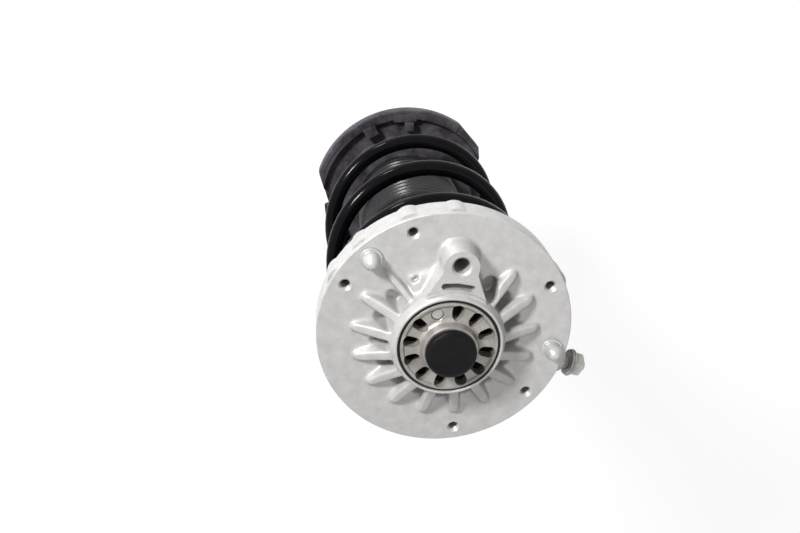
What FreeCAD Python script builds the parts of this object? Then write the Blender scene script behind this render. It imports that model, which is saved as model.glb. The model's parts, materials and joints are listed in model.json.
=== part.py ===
import FreeCAD, Part
import math
import os

import Sketcher

# A front suspension strut, upright as it is installed. The origin is the centre of the top
# mount's flat upper face, +Z leaves the mount upwards and the damper hangs down along -Z.
# The mount's raised arm points along -Y. All lengths are millimetres, all angles degrees.

SIZES = {
    # top mount casting
    "plate_radius": 90.0,
    "plate_thickness": 9.0,
    "plate_edge_chamfer": 1.2,
    "rim_depth": 22.0,
    "rim_wall": 6.5,
    "dome_wall_radius": 40.0,
    "dome_shoulder_height": 14.8,
    "dome_top_radius": 37.2,
    "dome_top_height": 19.5,
    "dome_bore_radius": 35.4,
    "dome_floor_depth": 14.5,
    "dome_floor_thickness": 4.0,
    "dome_floor_hole_radius": 25.0,
    # radial ribs round the dome
    "rib_count": 14.0,
    "rib_pitch_angle": 21.18,
    "rib_first_angle": -39.3,
    "rib_tip_radius": 63.0,
    "rib_root_radius": 38.0,
    "rib_root_height": 14.0,
    "rib_root_half_foot": 5.2,
    "rib_root_half_crest": 2.6,
    "rib_tip_height": 0.8,
    "rib_tip_half_foot": 5.0,
    "rib_tip_half_crest": 2.2,
    "rib_sunk_depth": 3.0,
    "window_reach": 46.2,
    "window_length": 11.2,
    "window_width": 6.0,
    "window_depth": 7.0,
    # raised arm, the pocket along its flank and the web beside it
    "arm_angle": -86.0,
    "arm_height": 15.0,
    "arm_bore_reach": 58.4,
    "arm_nose_reach": 57.0,
    "arm_nose_radius": 12.6,
    "arm_nose_angle": 18.8,
    "arm_root_reach": 29.0,
    "arm_root_half_width": 23.1,
    "arm_draft": 16.5,
    "arm_bore_radius": 5.6,
    "arm_slot_radius": 43.9,
    "arm_slot_half_angle": 15.0,
    "arm_slot_width": 5.0,
    "arm_slot_depth": 9.0,
    "flank_pocket_reach": 46.0,
    "flank_pocket_angle": -118.6,
    "flank_pocket_turn": 28.6,
    "flank_pocket_length": 12.6,
    "flank_pocket_width": 7.2,
    "web_angle": -61.0,
    "web_half_angle": 19.0,
    "web_corner_turn": 4.0,
    "web_reach": 57.5,
    "web_height": 7.0,
    "web_draft": 30.0,
    "web_pocket_reach": 48.5,
    "web_pocket_angle": -52.5,
    "web_pocket_turn": 90.0,
    "web_pocket_length": 10.0,
    "web_pocket_width": 5.4,
    "web_pocket_depth": 4.0,
    # tapped holes and locating pins of the flat face
    "screw_circle_radius": 80.0,
    "screw_bore_radius": 3.4,
    "screw_chamfer": 1.25,
    "screw_angle_a": -61.8,
    "screw_angle_b": -19.1,
    "screw_angle_c": -143.8,
    "screw_angle_d": 151.1,
    "screw_angle_e": 107.4,
    "boss_radius": 11.8,
    "boss_depth": 22.0,
    "lug_angle": -83.0,
    "lug_overhang": 1.0,
    "pin_circle_radius": 78.6,
    "pin_angle_near": -37.8,
    "pin_angle_far": 180.0,
    "pin_radius": 6.0,
    "pin_straight_height": 9.0,
    "pin_nose_height": 4.5,
    "pin_nose_radius": 2.6,
    "pin_collar_radius": 7.7,
    "pin_collar_height": 2.0,
    "pin_collar_sink": 1.0,
    "pin_shank_depth": 12.0,
    "pin_press_gap": 0.05,
    # side stud on the rim
    "side_angle": 170.5,
    "side_depth": 13.5,
    "side_boss_radius": 9.0,
    "side_boss_rise": 5.0,
    "side_boss_sunk": 5.5,
    "side_stud_radius": 5.0,
    "side_stud_depth": 8.0,
    "side_stud_length": 27.0,
    "side_washer_radius": 9.6,
    "side_washer_thickness": 1.6,
    "side_nut_flats": 16.0,
    "side_nut_height": 8.4,
    "side_nut_flange_radius": 10.2,
    "side_nut_flange_height": 1.8,
    "side_washer_gap": 5.9,
    "nut_corner_share": 0.025,
    # core in the dome, rubber round it, and the rod's fastening
    "core_radius": 33.6,
    "core_plate_thickness": 8.0,
    "core_lip_width": 2.6,
    "core_dish": 1.0,
    "core_hub_radius": 20.4,
    "core_hub_height": 25.8,
    "core_hub_chamfer": 1.4,
    "core_cup_radius": 15.0,
    "core_cup_floor": 12.5,
    "core_depth": 12.0,
    "core_slot_count": 12.0,
    "core_slot_circle": 26.4,
    "core_slot_length": 10.4,
    "core_slot_width": 7.0,
    "core_plug_angle": -60.0,
    "core_plug_radius": 4.2,
    "core_plug_depth": 1.4,
    "rubber_gap": 0.1,
    "rubber_wall_top": 9.5,
    "rubber_wall_dip": 5.0,
    "rubber_lip_drop": 1.0,
    "cap_radius": 17.4,
    "cap_top": 32.0,
    "cap_wall": 1.6,
    "cap_edge": 1.4,
    "cap_spigot_radius": 14.9,
    "cap_spigot_depth": 3.0,
    "rod_neck_radius": 7.0,
    "rod_neck_gap": 0.1,
    "rod_neck_top": 28.6,
    "rod_nut_flats": 21.0,
    "rod_nut_height": 10.0,
    "rod_washer_radius": 14.2,
    "rod_washer_thickness": 2.5,
    "stop_washer_radius": 24.0,
    "stop_washer_thickness": 3.0,
    # thrust bearing between the mount and the spring
    "bearing_radius": 56.0,
    "bearing_ball_radius": 3.0,
    "bearing_ball_count": 30.0,
    "bearing_ball_gap": 0.05,
    "bearing_upper_inner": 42.0,
    "bearing_upper_outer": 67.0,
    "bearing_upper_thickness": 5.5,
    "bearing_lower_inner": 46.0,
    "bearing_lower_outer": 62.5,
    "bearing_lower_thickness": 5.0,
    "bearing_split": 3.2,
    "bearing_lip": 2.0,
    "bearing_cage_half_width": 5.0,
    "bearing_cage_thickness": 1.8,
    "bearing_pocket_gap": 0.15,
    # upper spring seat and pad
    "seat_sheet": 3.2,
    "seat_inner_radius": 41.5,
    "seat_outer_radius": 84.0,
    "seat_collar_radius": 62.5,
    "seat_collar_depth": 24.0,
    "pad_thickness": 4.0,
    "pad_neck_wall": 3.2,
    "pad_neck_depth": 20.0,
    "pad_gap": 0.15,
    "pad_lip_radius": 86.0,
    "pad_rib_height": 1.0,
    "pad_rib_count": 4.0,
    # coil spring
    "coil_radius": 75.1,
    "wire_radius": 6.5,
    "coil_pitch": 78.1,
    "coil_height": 230.0,
    "coil_top_angle": 45.0,
    "coil_top_flat_turns": 0.65,
    "coil_foot_flat_turns": 0.25,
    "coil_ramp_turns": 0.25,
    "coil_end_length": 13.0,
    "coil_rest_gap": 0.1,
    # lower spring pad and seat
    "dish_flat": 75.0,
    "dish_flat_angle_near": 26.0,
    "dish_flat_angle_far": 197.0,
    "dish_pad_thickness": 4.0,
    "dish_pad_band_height": 6.0,
    "dish_pad_band_width": 8.5,
    "dish_pad_band_gap": 1.4,
    "dish_pad_collar_inner": 40.0,
    "dish_pad_collar_outer": 64.0,
    "dish_pad_collar_height": 12.5,
    "dish_lug_angle_near": -52.0,
    "dish_lug_angle_far": -80.0,
    "dish_lug_inset": 23.5,
    "dish_lug_length": 13.0,
    "dish_lug_width": 7.0,
    "dish_lug_height": 5.0,
    "dish_rim_width": 3.5,
    "dish_flat_rim_width": 2.5,
    "dish_sheet": 3.0,
    "dish_hub_radius": 42.0,
    "dish_hub_depth": 26.0,
    "dish_weld_gap": 0.05,
    # dust boot
    "boot_top_radius": 46.0,
    "boot_crest_radius": 49.5,
    "boot_valley_radius": 43.5,
    "boot_shallow_radius": 47.6,
    "boot_wall": 1.2,
    "boot_neck_length": 8.0,
    "boot_deep_ribs": 20.0,
    "boot_shallow_ribs": 12.0,
    "boot_deep_length": 122.0,
    "boot_gap": 0.3,
    "boot_valley_share": 0.08,
    "boot_crest_share": 0.38,
    "boot_foot_share": 0.8,
    # bump stop on the rod
    "bump_length": 64.0,
    "bump_radius": 27.0,
    "bump_waist_radius": 22.0,
    "bump_waist_half": 6.4,
    "bump_waist_upper": 19.2,
    "bump_waist_lower": 41.6,
    "bump_shoulder": 2.0,
    "bump_bore_radius": 11.3,
    "bump_tip_radius": 17.0,
    # damper
    "rod_radius": 11.0,
    "rod_foot_radius": 6.0,
    "rod_chamfer": 1.0,
    "rod_slide_gap": 0.05,
    "tube_radius": 25.5,
    "tube_wall": 2.5,
    "tube_top_depth": 186.0,
    "tube_length": 334.0,
    "tube_base_thickness": 6.0,
    "tube_press_gap": 0.05,
    "bump_cap_thickness": 3.5,
    "bump_cap_skirt": 12.0,
    "bump_cap_wall": 1.5,
    "bump_cap_hole_gap": 1.0,
    "bump_cap_edge": 1.0,
    "seal_thickness": 5.0,
    "guide_length": 24.0,
    "guide_spigot": 6.0,
    "inner_radius": 17.5,
    "inner_wall": 1.5,
    "base_valve_length": 14.0,
    "base_valve_foot": 5.0,
    "rebound_gap": 0.3,
    "rebound_length": 16.0,
    "rebound_radius": 15.0,
    "rebound_lead": 18.0,
    "rebound_spacer_wall": 2.0,
    "piston_length": 20.0,
    "piston_gap": 0.4,
    "piston_band_length": 10.0,
    "piston_band_depth": 1.4,
    "piston_nut_flats": 19.0,
    "piston_nut_height": 9.0,
    "rod_foot_tail": 2.0,
    # brackets on the tube
    "link_sheet": 5.0,
    "link_angle": 90.0,
    "link_depth": 395.0,
    "link_height": 46.0,
    "link_reach": 58.0,
    "link_half_width": 17.0,
    "link_hole_radius": 6.1,
    "hose_sheet": 3.0,
    "hose_angle": 0.0,
    "hose_depth": 345.0,
    "hose_height": 30.0,
    "hose_reach": 50.0,
    "hose_half_width": 14.0,
    "hose_hole_radius": 5.1,
    "bracket_sunk": 7.5,
    "clamp_length": 88.0,
    "clamp_radius": 24.7,
    "tube_base_inset": 0.6,
    "tab_angle": -90.0,
    "tab_width": 8.0,
    "tab_height": 16.0,
    "tab_reach": 31.0,
    "tab_sunk": 4.0,
}

FULL_TURN = 360.0
HALF_TURN = 180.0
SHEET_NAME = "Sizes"
ARC_STEPS = 6
COIL_SLOPE_STEP = 1e-4
STRAIGHT_ENOUGH = 1e-9


class Dim:
    """A length or angle with its number and the sheet expression that gives it."""

    def __init__(self, value, text):
        self.value = value
        self.text = text

    def join(self, other, value, sign):
        return Dim(value, f"({self.text} {sign} {other.text})")

    def __add__(self, other):
        other = dim(other)
        return self.join(other, self.value + other.value, "+")

    def __sub__(self, other):
        other = dim(other)
        return self.join(other, self.value - other.value, "-")

    def __mul__(self, other):
        other = dim(other)
        return self.join(other, self.value * other.value, "*")

    def __truediv__(self, other):
        other = dim(other)
        return self.join(other, self.value / other.value, "/")

    def __neg__(self):
        return Dim(-self.value, f"(0 - {self.text})")


def dim(number):
    """The number itself as a Dim, or the Dim that it already is."""
    return number if isinstance(number, Dim) else Dim(float(number), repr(float(number)))


def size(alias):
    """The named size of the sheet."""
    return Dim(SIZES[alias], f"{SHEET_NAME}.{alias}")


def cosine(angle):
    return Dim(math.cos(math.radians(angle.value)), f"cos({angle.text} * 1 deg)")


def sine(angle):
    return Dim(math.sin(math.radians(angle.value)), f"sin({angle.text} * 1 deg)")


def tangent(angle):
    return Dim(math.tan(math.radians(angle.value)), f"tan({angle.text} * 1 deg)")


ZERO = dim(0)

doc = FreeCAD.newDocument("strut")
sheet = doc.addObject("Spreadsheet::Sheet", SHEET_NAME)
for row, (alias, number) in enumerate(SIZES.items(), start=1):
    sheet.set(f"A{row}", alias)
    sheet.set(f"B{row}", str(number))
    sheet.setAlias(f"B{row}", alias)
doc.recompute()

SUBPARTS = []


def bind(thing, path, amount):
    """Ties one property of a document object to the sheet."""
    amount = dim(amount)
    thing.setExpression(path, amount.text)


def body(label):
    """A new sub-part that is built from sketches."""
    made = doc.addObject("PartDesign::Body", label)
    made.Label = label
    SUBPARTS.append(made)
    return made


def origin_plane(owner, role):
    for feature in owner.Origin.OriginFeatures:
        if feature.Role == role:
            return feature


def sketch_at(owner, name, role):
    """A sketch on one of the body's own origin planes."""
    sketch = owner.newObject("Sketcher::SketchObject", name)
    sketch.AttachmentSupport = [(origin_plane(owner, role), "")]
    sketch.MapMode = "FlatFace"
    return sketch


def level_sketch(owner, name, height):
    """A sketch square to the strut's axis, at a height."""
    sketch = sketch_at(owner, name, "XY_Plane")
    bind(sketch, "AttachmentOffset.Base.z", height)
    return sketch


def radial_sketch(owner, name, angle):
    """A sketch in the half plane that holds the strut's axis and points to an azimuth."""
    sketch = sketch_at(owner, name, "XZ_Plane")
    turn = FreeCAD.Rotation(FreeCAD.Vector(0, 1, 0), dim(angle).value)
    sketch.AttachmentOffset = FreeCAD.Placement(FreeCAD.Vector(), turn)
    bind(sketch, "AttachmentOffset.Rotation.Angle", angle)
    return sketch


def side_sketch(owner, name, angle, reach):
    """A sketch square to an azimuth, at a distance from the strut's axis."""
    sketch = sketch_at(owner, name, "YZ_Plane")
    turn = FreeCAD.Rotation(FreeCAD.Vector(0, 1, 0), angle.value)
    sketch.AttachmentOffset = FreeCAD.Placement(FreeCAD.Vector(), turn)
    bind(sketch, "AttachmentOffset.Rotation.Angle", angle)
    bind(sketch, "AttachmentOffset.Base.x", reach * sine(angle))
    bind(sketch, "AttachmentOffset.Base.z", reach * cosine(angle))
    return sketch


def hold_point(sketch, geometry, end, across, up):
    """Ties one point of a sketch to its place."""
    for kind, amount in (("DistanceX", across), ("DistanceY", up)):
        rule = Sketcher.Constraint(kind, -1, 1, geometry, end, amount.value)
        index = sketch.addConstraint(rule)
        sketch.setExpression(f"Constraints[{index}]", amount.text)


def outline(sketch, points):
    """A closed outline of straight edges through points that the sheet places."""
    points = [(dim(across), dim(up)) for across, up in points]
    first = sketch.GeometryCount
    count = len(points)
    spots = [FreeCAD.Vector(across.value, up.value, 0) for across, up in points]
    for index in range(count):
        sketch.addGeometry(Part.LineSegment(spots[index], spots[(index + 1) % count]), False)
    for index in range(count):
        following = first + (index + 1) % count
        sketch.addConstraint(Sketcher.Constraint("Coincident", first + index, 2, following, 1))
    for index, (across, up) in enumerate(points):
        hold_point(sketch, first + index, 1, across, up)


def ring(sketch, radius, across=ZERO, up=ZERO):
    """A circle that the sheet places and sizes."""
    across, up, radius = dim(across), dim(up), dim(radius)
    centre = FreeCAD.Vector(across.value, up.value, 0)
    index = sketch.addGeometry(Part.Circle(centre, FreeCAD.Vector(0, 0, 1), radius.value), False)
    hold_point(sketch, index, 3, across, up)
    rule = sketch.addConstraint(Sketcher.Constraint("Radius", index, radius.value))
    sketch.setExpression(f"Constraints[{rule}]", radius.text)


def slot(sketch, angle, reach, length, width, middle=(ZERO, ZERO)):
    """A slot with round ends whose long side points to an azimuth from a middle point."""
    half = (length - width) / 2
    radius = width / 2
    ends = []
    for sign in (-1, 1):
        along = reach + half * sign
        ends.append((middle[0] + along * cosine(angle), middle[1] + along * sine(angle)))
    side = (radius * sine(angle), radius * cosine(angle))
    corners = []
    for index, sign in ((0, 1), (1, 1), (1, -1), (0, -1)):
        across = ends[index][0] - side[0] * sign
        up = ends[index][1] + side[1] * sign
        corners.append((across, up))
    spots = [FreeCAD.Vector(across.value, up.value, 0) for across, up in corners]
    direction = FreeCAD.Vector(cosine(angle).value, sine(angle).value, 0)
    far = FreeCAD.Vector(ends[1][0].value, ends[1][1].value, 0) + direction * radius.value
    near = FreeCAD.Vector(ends[0][0].value, ends[0][1].value, 0) - direction * radius.value
    first = sketch.GeometryCount
    sketch.addGeometry(Part.LineSegment(spots[0], spots[1]), False)
    sketch.addGeometry(Part.Arc(spots[1], far, spots[2]), False)
    sketch.addGeometry(Part.LineSegment(spots[2], spots[3]), False)
    sketch.addGeometry(Part.Arc(spots[3], near, spots[0]), False)
    # An arc runs anticlockwise inside a sketch, so its first point meets the line after it.
    for arc, before, after, centre in ((first + 1, first, first + 2, 1), (first + 3, first + 2, first, 0)):
        sketch.addConstraint(Sketcher.Constraint("Tangent", arc, 1, after, 1))
        sketch.addConstraint(Sketcher.Constraint("Tangent", arc, 2, before, 2))
        rule = sketch.addConstraint(Sketcher.Constraint("Radius", arc, radius.value))
        sketch.setExpression(f"Constraints[{rule}]", radius.text)
        hold_point(sketch, arc, 3, *ends[centre])


def arch(sketch, half_foot, half_crest, top):
    """A section with leaning flanks and a half-round crest, its foot sunk below the face."""
    foot = -size("rib_sunk_depth")
    centre = top - half_crest
    first = sketch.GeometryCount
    spots = [FreeCAD.Vector(across, up, 0) for across, up in (
        (half_crest.value, centre.value), (half_foot.value, foot.value),
        (-half_foot.value, foot.value), (-half_crest.value, centre.value))]
    for begin, finish in zip(spots, spots[1:]):
        sketch.addGeometry(Part.LineSegment(begin, finish), False)
    sketch.addGeometry(Part.Arc(spots[0], FreeCAD.Vector(0, top.value, 0), spots[3]), False)
    for index in (0, 1):
        sketch.addConstraint(Sketcher.Constraint("Coincident", first + index, 2, first + index + 1, 1))
    crest = first + 3
    sketch.addConstraint(Sketcher.Constraint("Coincident", crest, 1, first, 1))
    sketch.addConstraint(Sketcher.Constraint("Coincident", crest, 2, first + 2, 2))
    hold_point(sketch, first, 2, half_foot, foot)
    hold_point(sketch, first + 2, 1, -half_foot, foot)
    hold_point(sketch, crest, 3, ZERO, centre)
    rule = sketch.addConstraint(Sketcher.Constraint("Radius", crest, half_crest.value))
    sketch.setExpression(f"Constraints[{rule}]", half_crest.text)
    for line, end in ((first, 1), (first + 2, 2)):
        sketch.addConstraint(Sketcher.Constraint("Horizontal", crest, 3, line, end))


def turn_profile(owner, name, points):
    """A profile turned once round the strut's axis."""
    sketch = radial_sketch(owner, name + "_profile", ZERO)
    outline(sketch, points)
    feature = owner.newObject("PartDesign::Revolution", name)
    feature.Profile = sketch
    feature.ReferenceAxis = (sketch, ["V_Axis"])
    feature.Angle = FULL_TURN
    return feature


def raise_pad(owner, name, sketch, length, reverse=False, taper=None):
    pad = owner.newObject("PartDesign::Pad", name)
    pad.Profile = sketch
    bind(pad, "Length", length)
    pad.Reversed = reverse
    if taper is not None:
        bind(pad, "TaperAngle", -taper)
    return pad


def cut_pocket(owner, name, sketch, length, reverse=False):
    pocket = owner.newObject("PartDesign::Pocket", name)
    pocket.Profile = sketch
    bind(pocket, "Length", length)
    pocket.Reversed = reverse
    return pocket


def repeat_round(owner, name, feature, count, angle):
    """Copies of a feature round the strut's axis; the angle runs from the first to the last."""
    pattern = owner.newObject("PartDesign::PolarPattern", name)
    pattern.Originals = [feature]
    pattern.Axis = (origin_plane(owner, "Z_Axis"), [""])
    pattern.Occurrences = int(count.value)
    bind(pattern, "Occurrences", count)
    bind(pattern, "Angle", angle)
    owner.Tip = pattern
    return pattern


def primitive(kind, name, **amounts):
    """A plain solid whose sizes the sheet gives."""
    made = doc.addObject(kind, name)
    for path, amount in amounts.items():
        bind(made, path, amount)
    return made


def place(thing, across=ZERO, along=ZERO, up=ZERO):
    bind(thing, "Placement.Base.x", across)
    bind(thing, "Placement.Base.y", along)
    bind(thing, "Placement.Base.z", up)
    return thing


def gather(kind, label, parts, keep=True):
    """One object from several, fused or side by side."""
    made = doc.addObject(kind, label)
    if kind == "Part::Compound":
        made.Links = parts
    else:
        made.Shapes = parts
    made.Label = label
    if keep:
        SUBPARTS.append(made)
    return made


def cut_from(label, base, tool, keep=True):
    made = doc.addObject("Part::Cut", label)
    made.Base = base
    made.Tool = tool
    made.Label = label
    if keep:
        SUBPARTS.append(made)
    return made


# Heights that several pieces share
dome_floor = -size("dome_floor_depth")
rod_seat = -size("core_depth")
bump_top = rod_seat - size("stop_washer_thickness")
bearing_top = -size("plate_thickness")
ball_height = bearing_top - size("bearing_upper_thickness") - size("bearing_split") / 2
bearing_foot = ball_height - size("bearing_split") / 2 - size("bearing_lower_thickness")
seat_foot = bearing_foot - size("seat_sheet")
upper_pad_face = seat_foot - size("pad_thickness")
coil_top = upper_pad_face - size("coil_rest_gap") - size("wire_radius")
coil_foot = coil_top - size("coil_height")
dish_face = coil_foot - size("wire_radius") - size("coil_rest_gap")
dish_sheet_top = dish_face - size("dish_pad_thickness")
collar_top = dish_face + size("dish_pad_collar_height")
tube_top = -size("tube_top_depth")
tube_foot = tube_top - size("tube_length")
tube_bore = size("tube_radius") - size("tube_wall")
bump_cap_top = tube_top + size("bump_cap_thickness")
guide_top = tube_top - size("seal_thickness")
guide_foot = guide_top - size("guide_length")
inner_bore = size("inner_radius") - size("inner_wall")
rebound_top = guide_foot - size("guide_spigot") - size("rebound_gap")
rebound_foot = rebound_top - size("rebound_length")
piston_top = rebound_foot - size("rebound_lead")
piston_foot = piston_top - size("piston_length")
piston_nut_foot = piston_foot - size("piston_nut_height")
rod_end = piston_nut_foot - size("rod_foot_tail")

dish_band_inner = size("coil_radius") + size("wire_radius") + size("dish_pad_band_gap")
dish_radius = dish_band_inner + size("dish_pad_band_width")
dish_seat_radius = dish_radius - size("dish_rim_width")
side_boss_reach = size("plate_radius") + size("side_boss_rise")
side_stud_root = side_boss_reach - size("side_stud_depth")
side_nut_start = side_boss_reach + size("side_washer_gap") + size("side_washer_thickness")
CUT_MARGIN = dim(1)

SCREW_NAMES = ("screw_angle_a", "screw_angle_b", "screw_angle_c", "screw_angle_d", "screw_angle_e")
PIN_NAMES = ("pin_angle_near", "pin_angle_far")


def spot(radius, angle):
    """The place on a circle round the axis, as an across and an up amount."""
    return radius * cosine(angle), radius * sine(angle)


def beside(along, side, angle):
    """The place along an azimuth and to one side of it, as an across and an up amount."""
    along, side = dim(along), dim(side)
    return along * cosine(angle) - side * sine(angle), along * sine(angle) + side * cosine(angle)


def build_mount_housing():
    """The cast plate with its rim below, its dome, ribs, arm, bosses and tapped holes."""
    housing = body("mount_housing")
    edge = size("plate_edge_chamfer")
    radius = size("plate_radius")
    rim_inner = radius - size("rim_wall")
    underside = -size("plate_thickness")
    rim_foot = -size("rim_depth")
    bore = size("dome_bore_radius")
    wall = size("dome_wall_radius")
    floor_top = dome_floor + size("dome_floor_thickness")
    turn_profile(housing, "casting", [
        (bore, size("dome_top_height")),
        (size("dome_top_radius"), size("dome_top_height")),
        (wall - edge / 2, size("dome_shoulder_height")),
        (wall, size("dome_shoulder_height") - edge),
        (wall, ZERO),
        (radius - edge, ZERO),
        (radius, -edge),
        (radius, rim_foot + edge),
        (radius - edge, rim_foot),
        (rim_inner, rim_foot),
        (rim_inner - edge, underside),
        (wall, underside),
        (wall, dome_floor),
        (size("dome_floor_hole_radius"), dome_floor),
        (size("dome_floor_hole_radius"), floor_top),
        (bore, floor_top),
    ])

    first_rib = size("rib_first_angle")
    root = size("rib_root_radius")
    root_section = side_sketch(housing, "rib_root_section", first_rib, root)
    arch(root_section, size("rib_root_half_foot"), size("rib_root_half_crest"), size("rib_root_height"))
    tip_section = side_sketch(housing, "rib_tip_section", first_rib, size("rib_tip_radius"))
    arch(tip_section, size("rib_tip_half_foot"), size("rib_tip_half_crest"), size("rib_tip_height"))
    rib = housing.newObject("PartDesign::AdditiveLoft", "rib")
    rib.Profile = root_section
    rib.Sections = [tip_section]
    rib.Ruled = True
    spread = size("rib_pitch_angle") * (size("rib_count") - 1)
    repeat_round(housing, "ribs", rib, size("rib_count"), spread)

    arm_sketch = level_sketch(housing, "arm_outline", ZERO)
    arm_points(arm_sketch)
    raise_pad(housing, "arm", arm_sketch, size("arm_height"), taper=size("arm_draft"))

    web_sketch = level_sketch(housing, "web_outline", ZERO)
    low = size("web_angle") - size("web_half_angle")
    high = size("web_angle") + size("web_half_angle")
    reach = size("web_reach")
    turn = size("web_corner_turn")
    outline(web_sketch, [spot(root, low), spot(reach, low + turn), spot(reach, high - turn), spot(root, high)])
    raise_pad(housing, "web", web_sketch, size("web_height"), taper=size("web_draft"))

    boss_sketch = level_sketch(housing, "boss_outline", underside / 2)
    for name in SCREW_NAMES:
        ring(boss_sketch, size("boss_radius"), *spot(size("screw_circle_radius"), size(name)))
    raise_pad(housing, "screw_bosses", boss_sketch, size("boss_depth") + underside / 2, reverse=True)
    lug_sketch = level_sketch(housing, "lug_outline", underside / 2)
    for name in PIN_NAMES + ("lug_angle",):
        reach = size("pin_circle_radius") + size("lug_overhang")
        ring(lug_sketch, size("boss_radius"), *spot(reach, size(name)))
    raise_pad(housing, "pin_bosses", lug_sketch, size("boss_depth") + underside / 2, reverse=True)

    side = side_sketch(housing, "side_boss_outline", size("side_angle"), radius - size("side_boss_sunk"))
    ring(side, size("side_boss_radius"), ZERO, -size("side_depth"))
    raise_pad(housing, "side_boss", side, size("side_boss_rise") + size("side_boss_sunk"))

    window_sketch = level_sketch(housing, "window_outline", ZERO)
    window_angle = size("rib_first_angle") + size("rib_pitch_angle") / 2
    slot(window_sketch, window_angle, size("window_reach"), size("window_length"), size("window_width"))
    window = cut_pocket(housing, "window", window_sketch, size("window_depth"))
    spread = size("rib_pitch_angle") * (size("rib_count") - 2)
    repeat_round(housing, "windows", window, size("rib_count") - 1, spread)

    top = size("dome_top_height") + CUT_MARGIN
    dome_bore = level_sketch(housing, "dome_bore_outline", top)
    ring(dome_bore, bore)
    cut_pocket(housing, "dome_bore", dome_bore, top - floor_top)
    arm_bore = level_sketch(housing, "arm_bore_outline", top)
    ring(arm_bore, size("arm_bore_radius"), *spot(size("arm_bore_reach"), size("arm_angle")))
    cut_pocket(housing, "arm_bore", arm_bore, top + size("plate_thickness") + CUT_MARGIN)

    arm_slot = level_sketch(housing, "arm_slot_outline", size("arm_height") + CUT_MARGIN)
    curved_slot(arm_slot, size("arm_slot_radius"), size("arm_angle"), size("arm_slot_half_angle"),
                size("arm_slot_width"))
    cut_pocket(housing, "arm_slot", arm_slot, size("arm_slot_depth") + CUT_MARGIN)

    flank_pocket = level_sketch(housing, "flank_pocket_outline", size("arm_height") + CUT_MARGIN)
    slot(flank_pocket, size("flank_pocket_angle") + size("flank_pocket_turn"), ZERO,
         size("flank_pocket_length"), size("flank_pocket_width"),
         spot(size("flank_pocket_reach"), size("flank_pocket_angle")))
    cut_pocket(housing, "flank_pocket", flank_pocket,
               size("arm_height") + CUT_MARGIN + size("window_depth"))

    web_pocket = level_sketch(housing, "web_pocket_outline", size("web_height") + CUT_MARGIN)
    pocket_place = spot(size("web_pocket_reach"), size("web_pocket_angle"))
    slot(web_pocket, size("web_pocket_angle") + size("web_pocket_turn"), ZERO, size("web_pocket_length"),
         size("web_pocket_width"), pocket_place)
    cut_pocket(housing, "web_pocket", web_pocket, size("web_pocket_depth") + CUT_MARGIN)

    screws = level_sketch(housing, "screw_bore_outline", ZERO)
    for name in SCREW_NAMES:
        ring(screws, size("screw_bore_radius"), *spot(size("screw_circle_radius"), size(name)))
    cut_pocket(housing, "screw_bores", screws, size("boss_depth") + CUT_MARGIN)
    sinks = level_sketch(housing, "screw_sink_outline", ZERO)
    for name in SCREW_NAMES:
        ring(sinks, size("screw_bore_radius") + size("screw_chamfer"),
             *spot(size("screw_circle_radius"), size(name)))
    sink = cut_pocket(housing, "screw_sinks", sinks, size("screw_chamfer"))
    bind(sink, "TaperAngle", dim(-FULL_TURN / 8))

    shanks = level_sketch(housing, "pin_bore_outline", ZERO)
    for name in PIN_NAMES:
        ring(shanks, size("pin_radius") + size("pin_press_gap"), *spot(size("pin_circle_radius"), size(name)))
    cut_pocket(housing, "pin_bores", shanks, size("pin_shank_depth") + size("pin_press_gap"))
    collars = level_sketch(housing, "collar_seat_outline", ZERO)
    for name in PIN_NAMES:
        ring(collars, size("pin_collar_radius") + size("pin_press_gap"),
             *spot(size("pin_circle_radius"), size(name)))
    cut_pocket(housing, "collar_seats", collars, size("pin_collar_sink"))

    stud = side_sketch(housing, "side_bore_outline", size("side_angle"), side_boss_reach)
    ring(stud, size("side_stud_radius") + size("pin_press_gap"), ZERO, -size("side_depth"))
    cut_pocket(housing, "side_bore", stud, size("side_stud_depth") + size("pin_press_gap"))


def arm_points(sketch):
    """The arm's foot: straight flanks from the dome to a round nose."""
    angle = size("arm_angle")
    spread = size("arm_height") * tangent(size("arm_draft"))
    nose = size("arm_nose_radius") + spread
    half = size("arm_root_half_width") + spread
    lean = size("arm_nose_angle")
    points = [beside(size("arm_root_reach"), half, angle)]
    for step in range(ARC_STEPS + 1):
        turn = lean - (lean * 2 + HALF_TURN) * (step / ARC_STEPS)
        points.append(beside(size("arm_nose_reach") - nose * sine(turn), nose * cosine(turn), angle))
    points.append(beside(size("arm_root_reach"), -half, angle))
    outline(sketch, points)


def curved_slot(sketch, radius, angle, half_angle, width):
    """A slot along a circle round the axis, with straight-cut chords and blunt ends."""
    outer, inner = radius + width / 2, radius - width / 2
    points = []
    turns = [angle - half_angle + half_angle * (2.0 * step / ARC_STEPS) for step in range(ARC_STEPS + 1)]
    for turn in turns:
        points.append(spot(outer, turn))
    for turn in reversed(turns):
        points.append(spot(inner, turn))
    outline(sketch, points)


def build_locating_pins():
    """Two bullet-nosed pins, pressed into the plate, each with a collar on its face."""
    pins = []
    for name in PIN_NAMES:
        across, up = spot(size("pin_circle_radius"), size(name))
        shank = primitive("Part::Cylinder", name + "_shank", Radius=size("pin_radius"),
                          Height=size("pin_shank_depth") + size("pin_straight_height"))
        place(shank, across, up, -size("pin_shank_depth"))
        nose = primitive("Part::Cone", name + "_nose", Radius1=size("pin_radius"),
                         Radius2=size("pin_nose_radius"), Height=size("pin_nose_height"))
        place(nose, across, up, size("pin_straight_height"))
        collar = primitive("Part::Cylinder", name + "_collar", Radius=size("pin_collar_radius"),
                           Height=size("pin_collar_height") + size("pin_collar_sink"))
        place(collar, across, up, -size("pin_collar_sink"))
        pins.append(gather("Part::MultiFuse", name + "_pin", [shank, nose, collar], keep=False))
    gather("Part::Compound", "locating_pins", pins)


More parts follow.
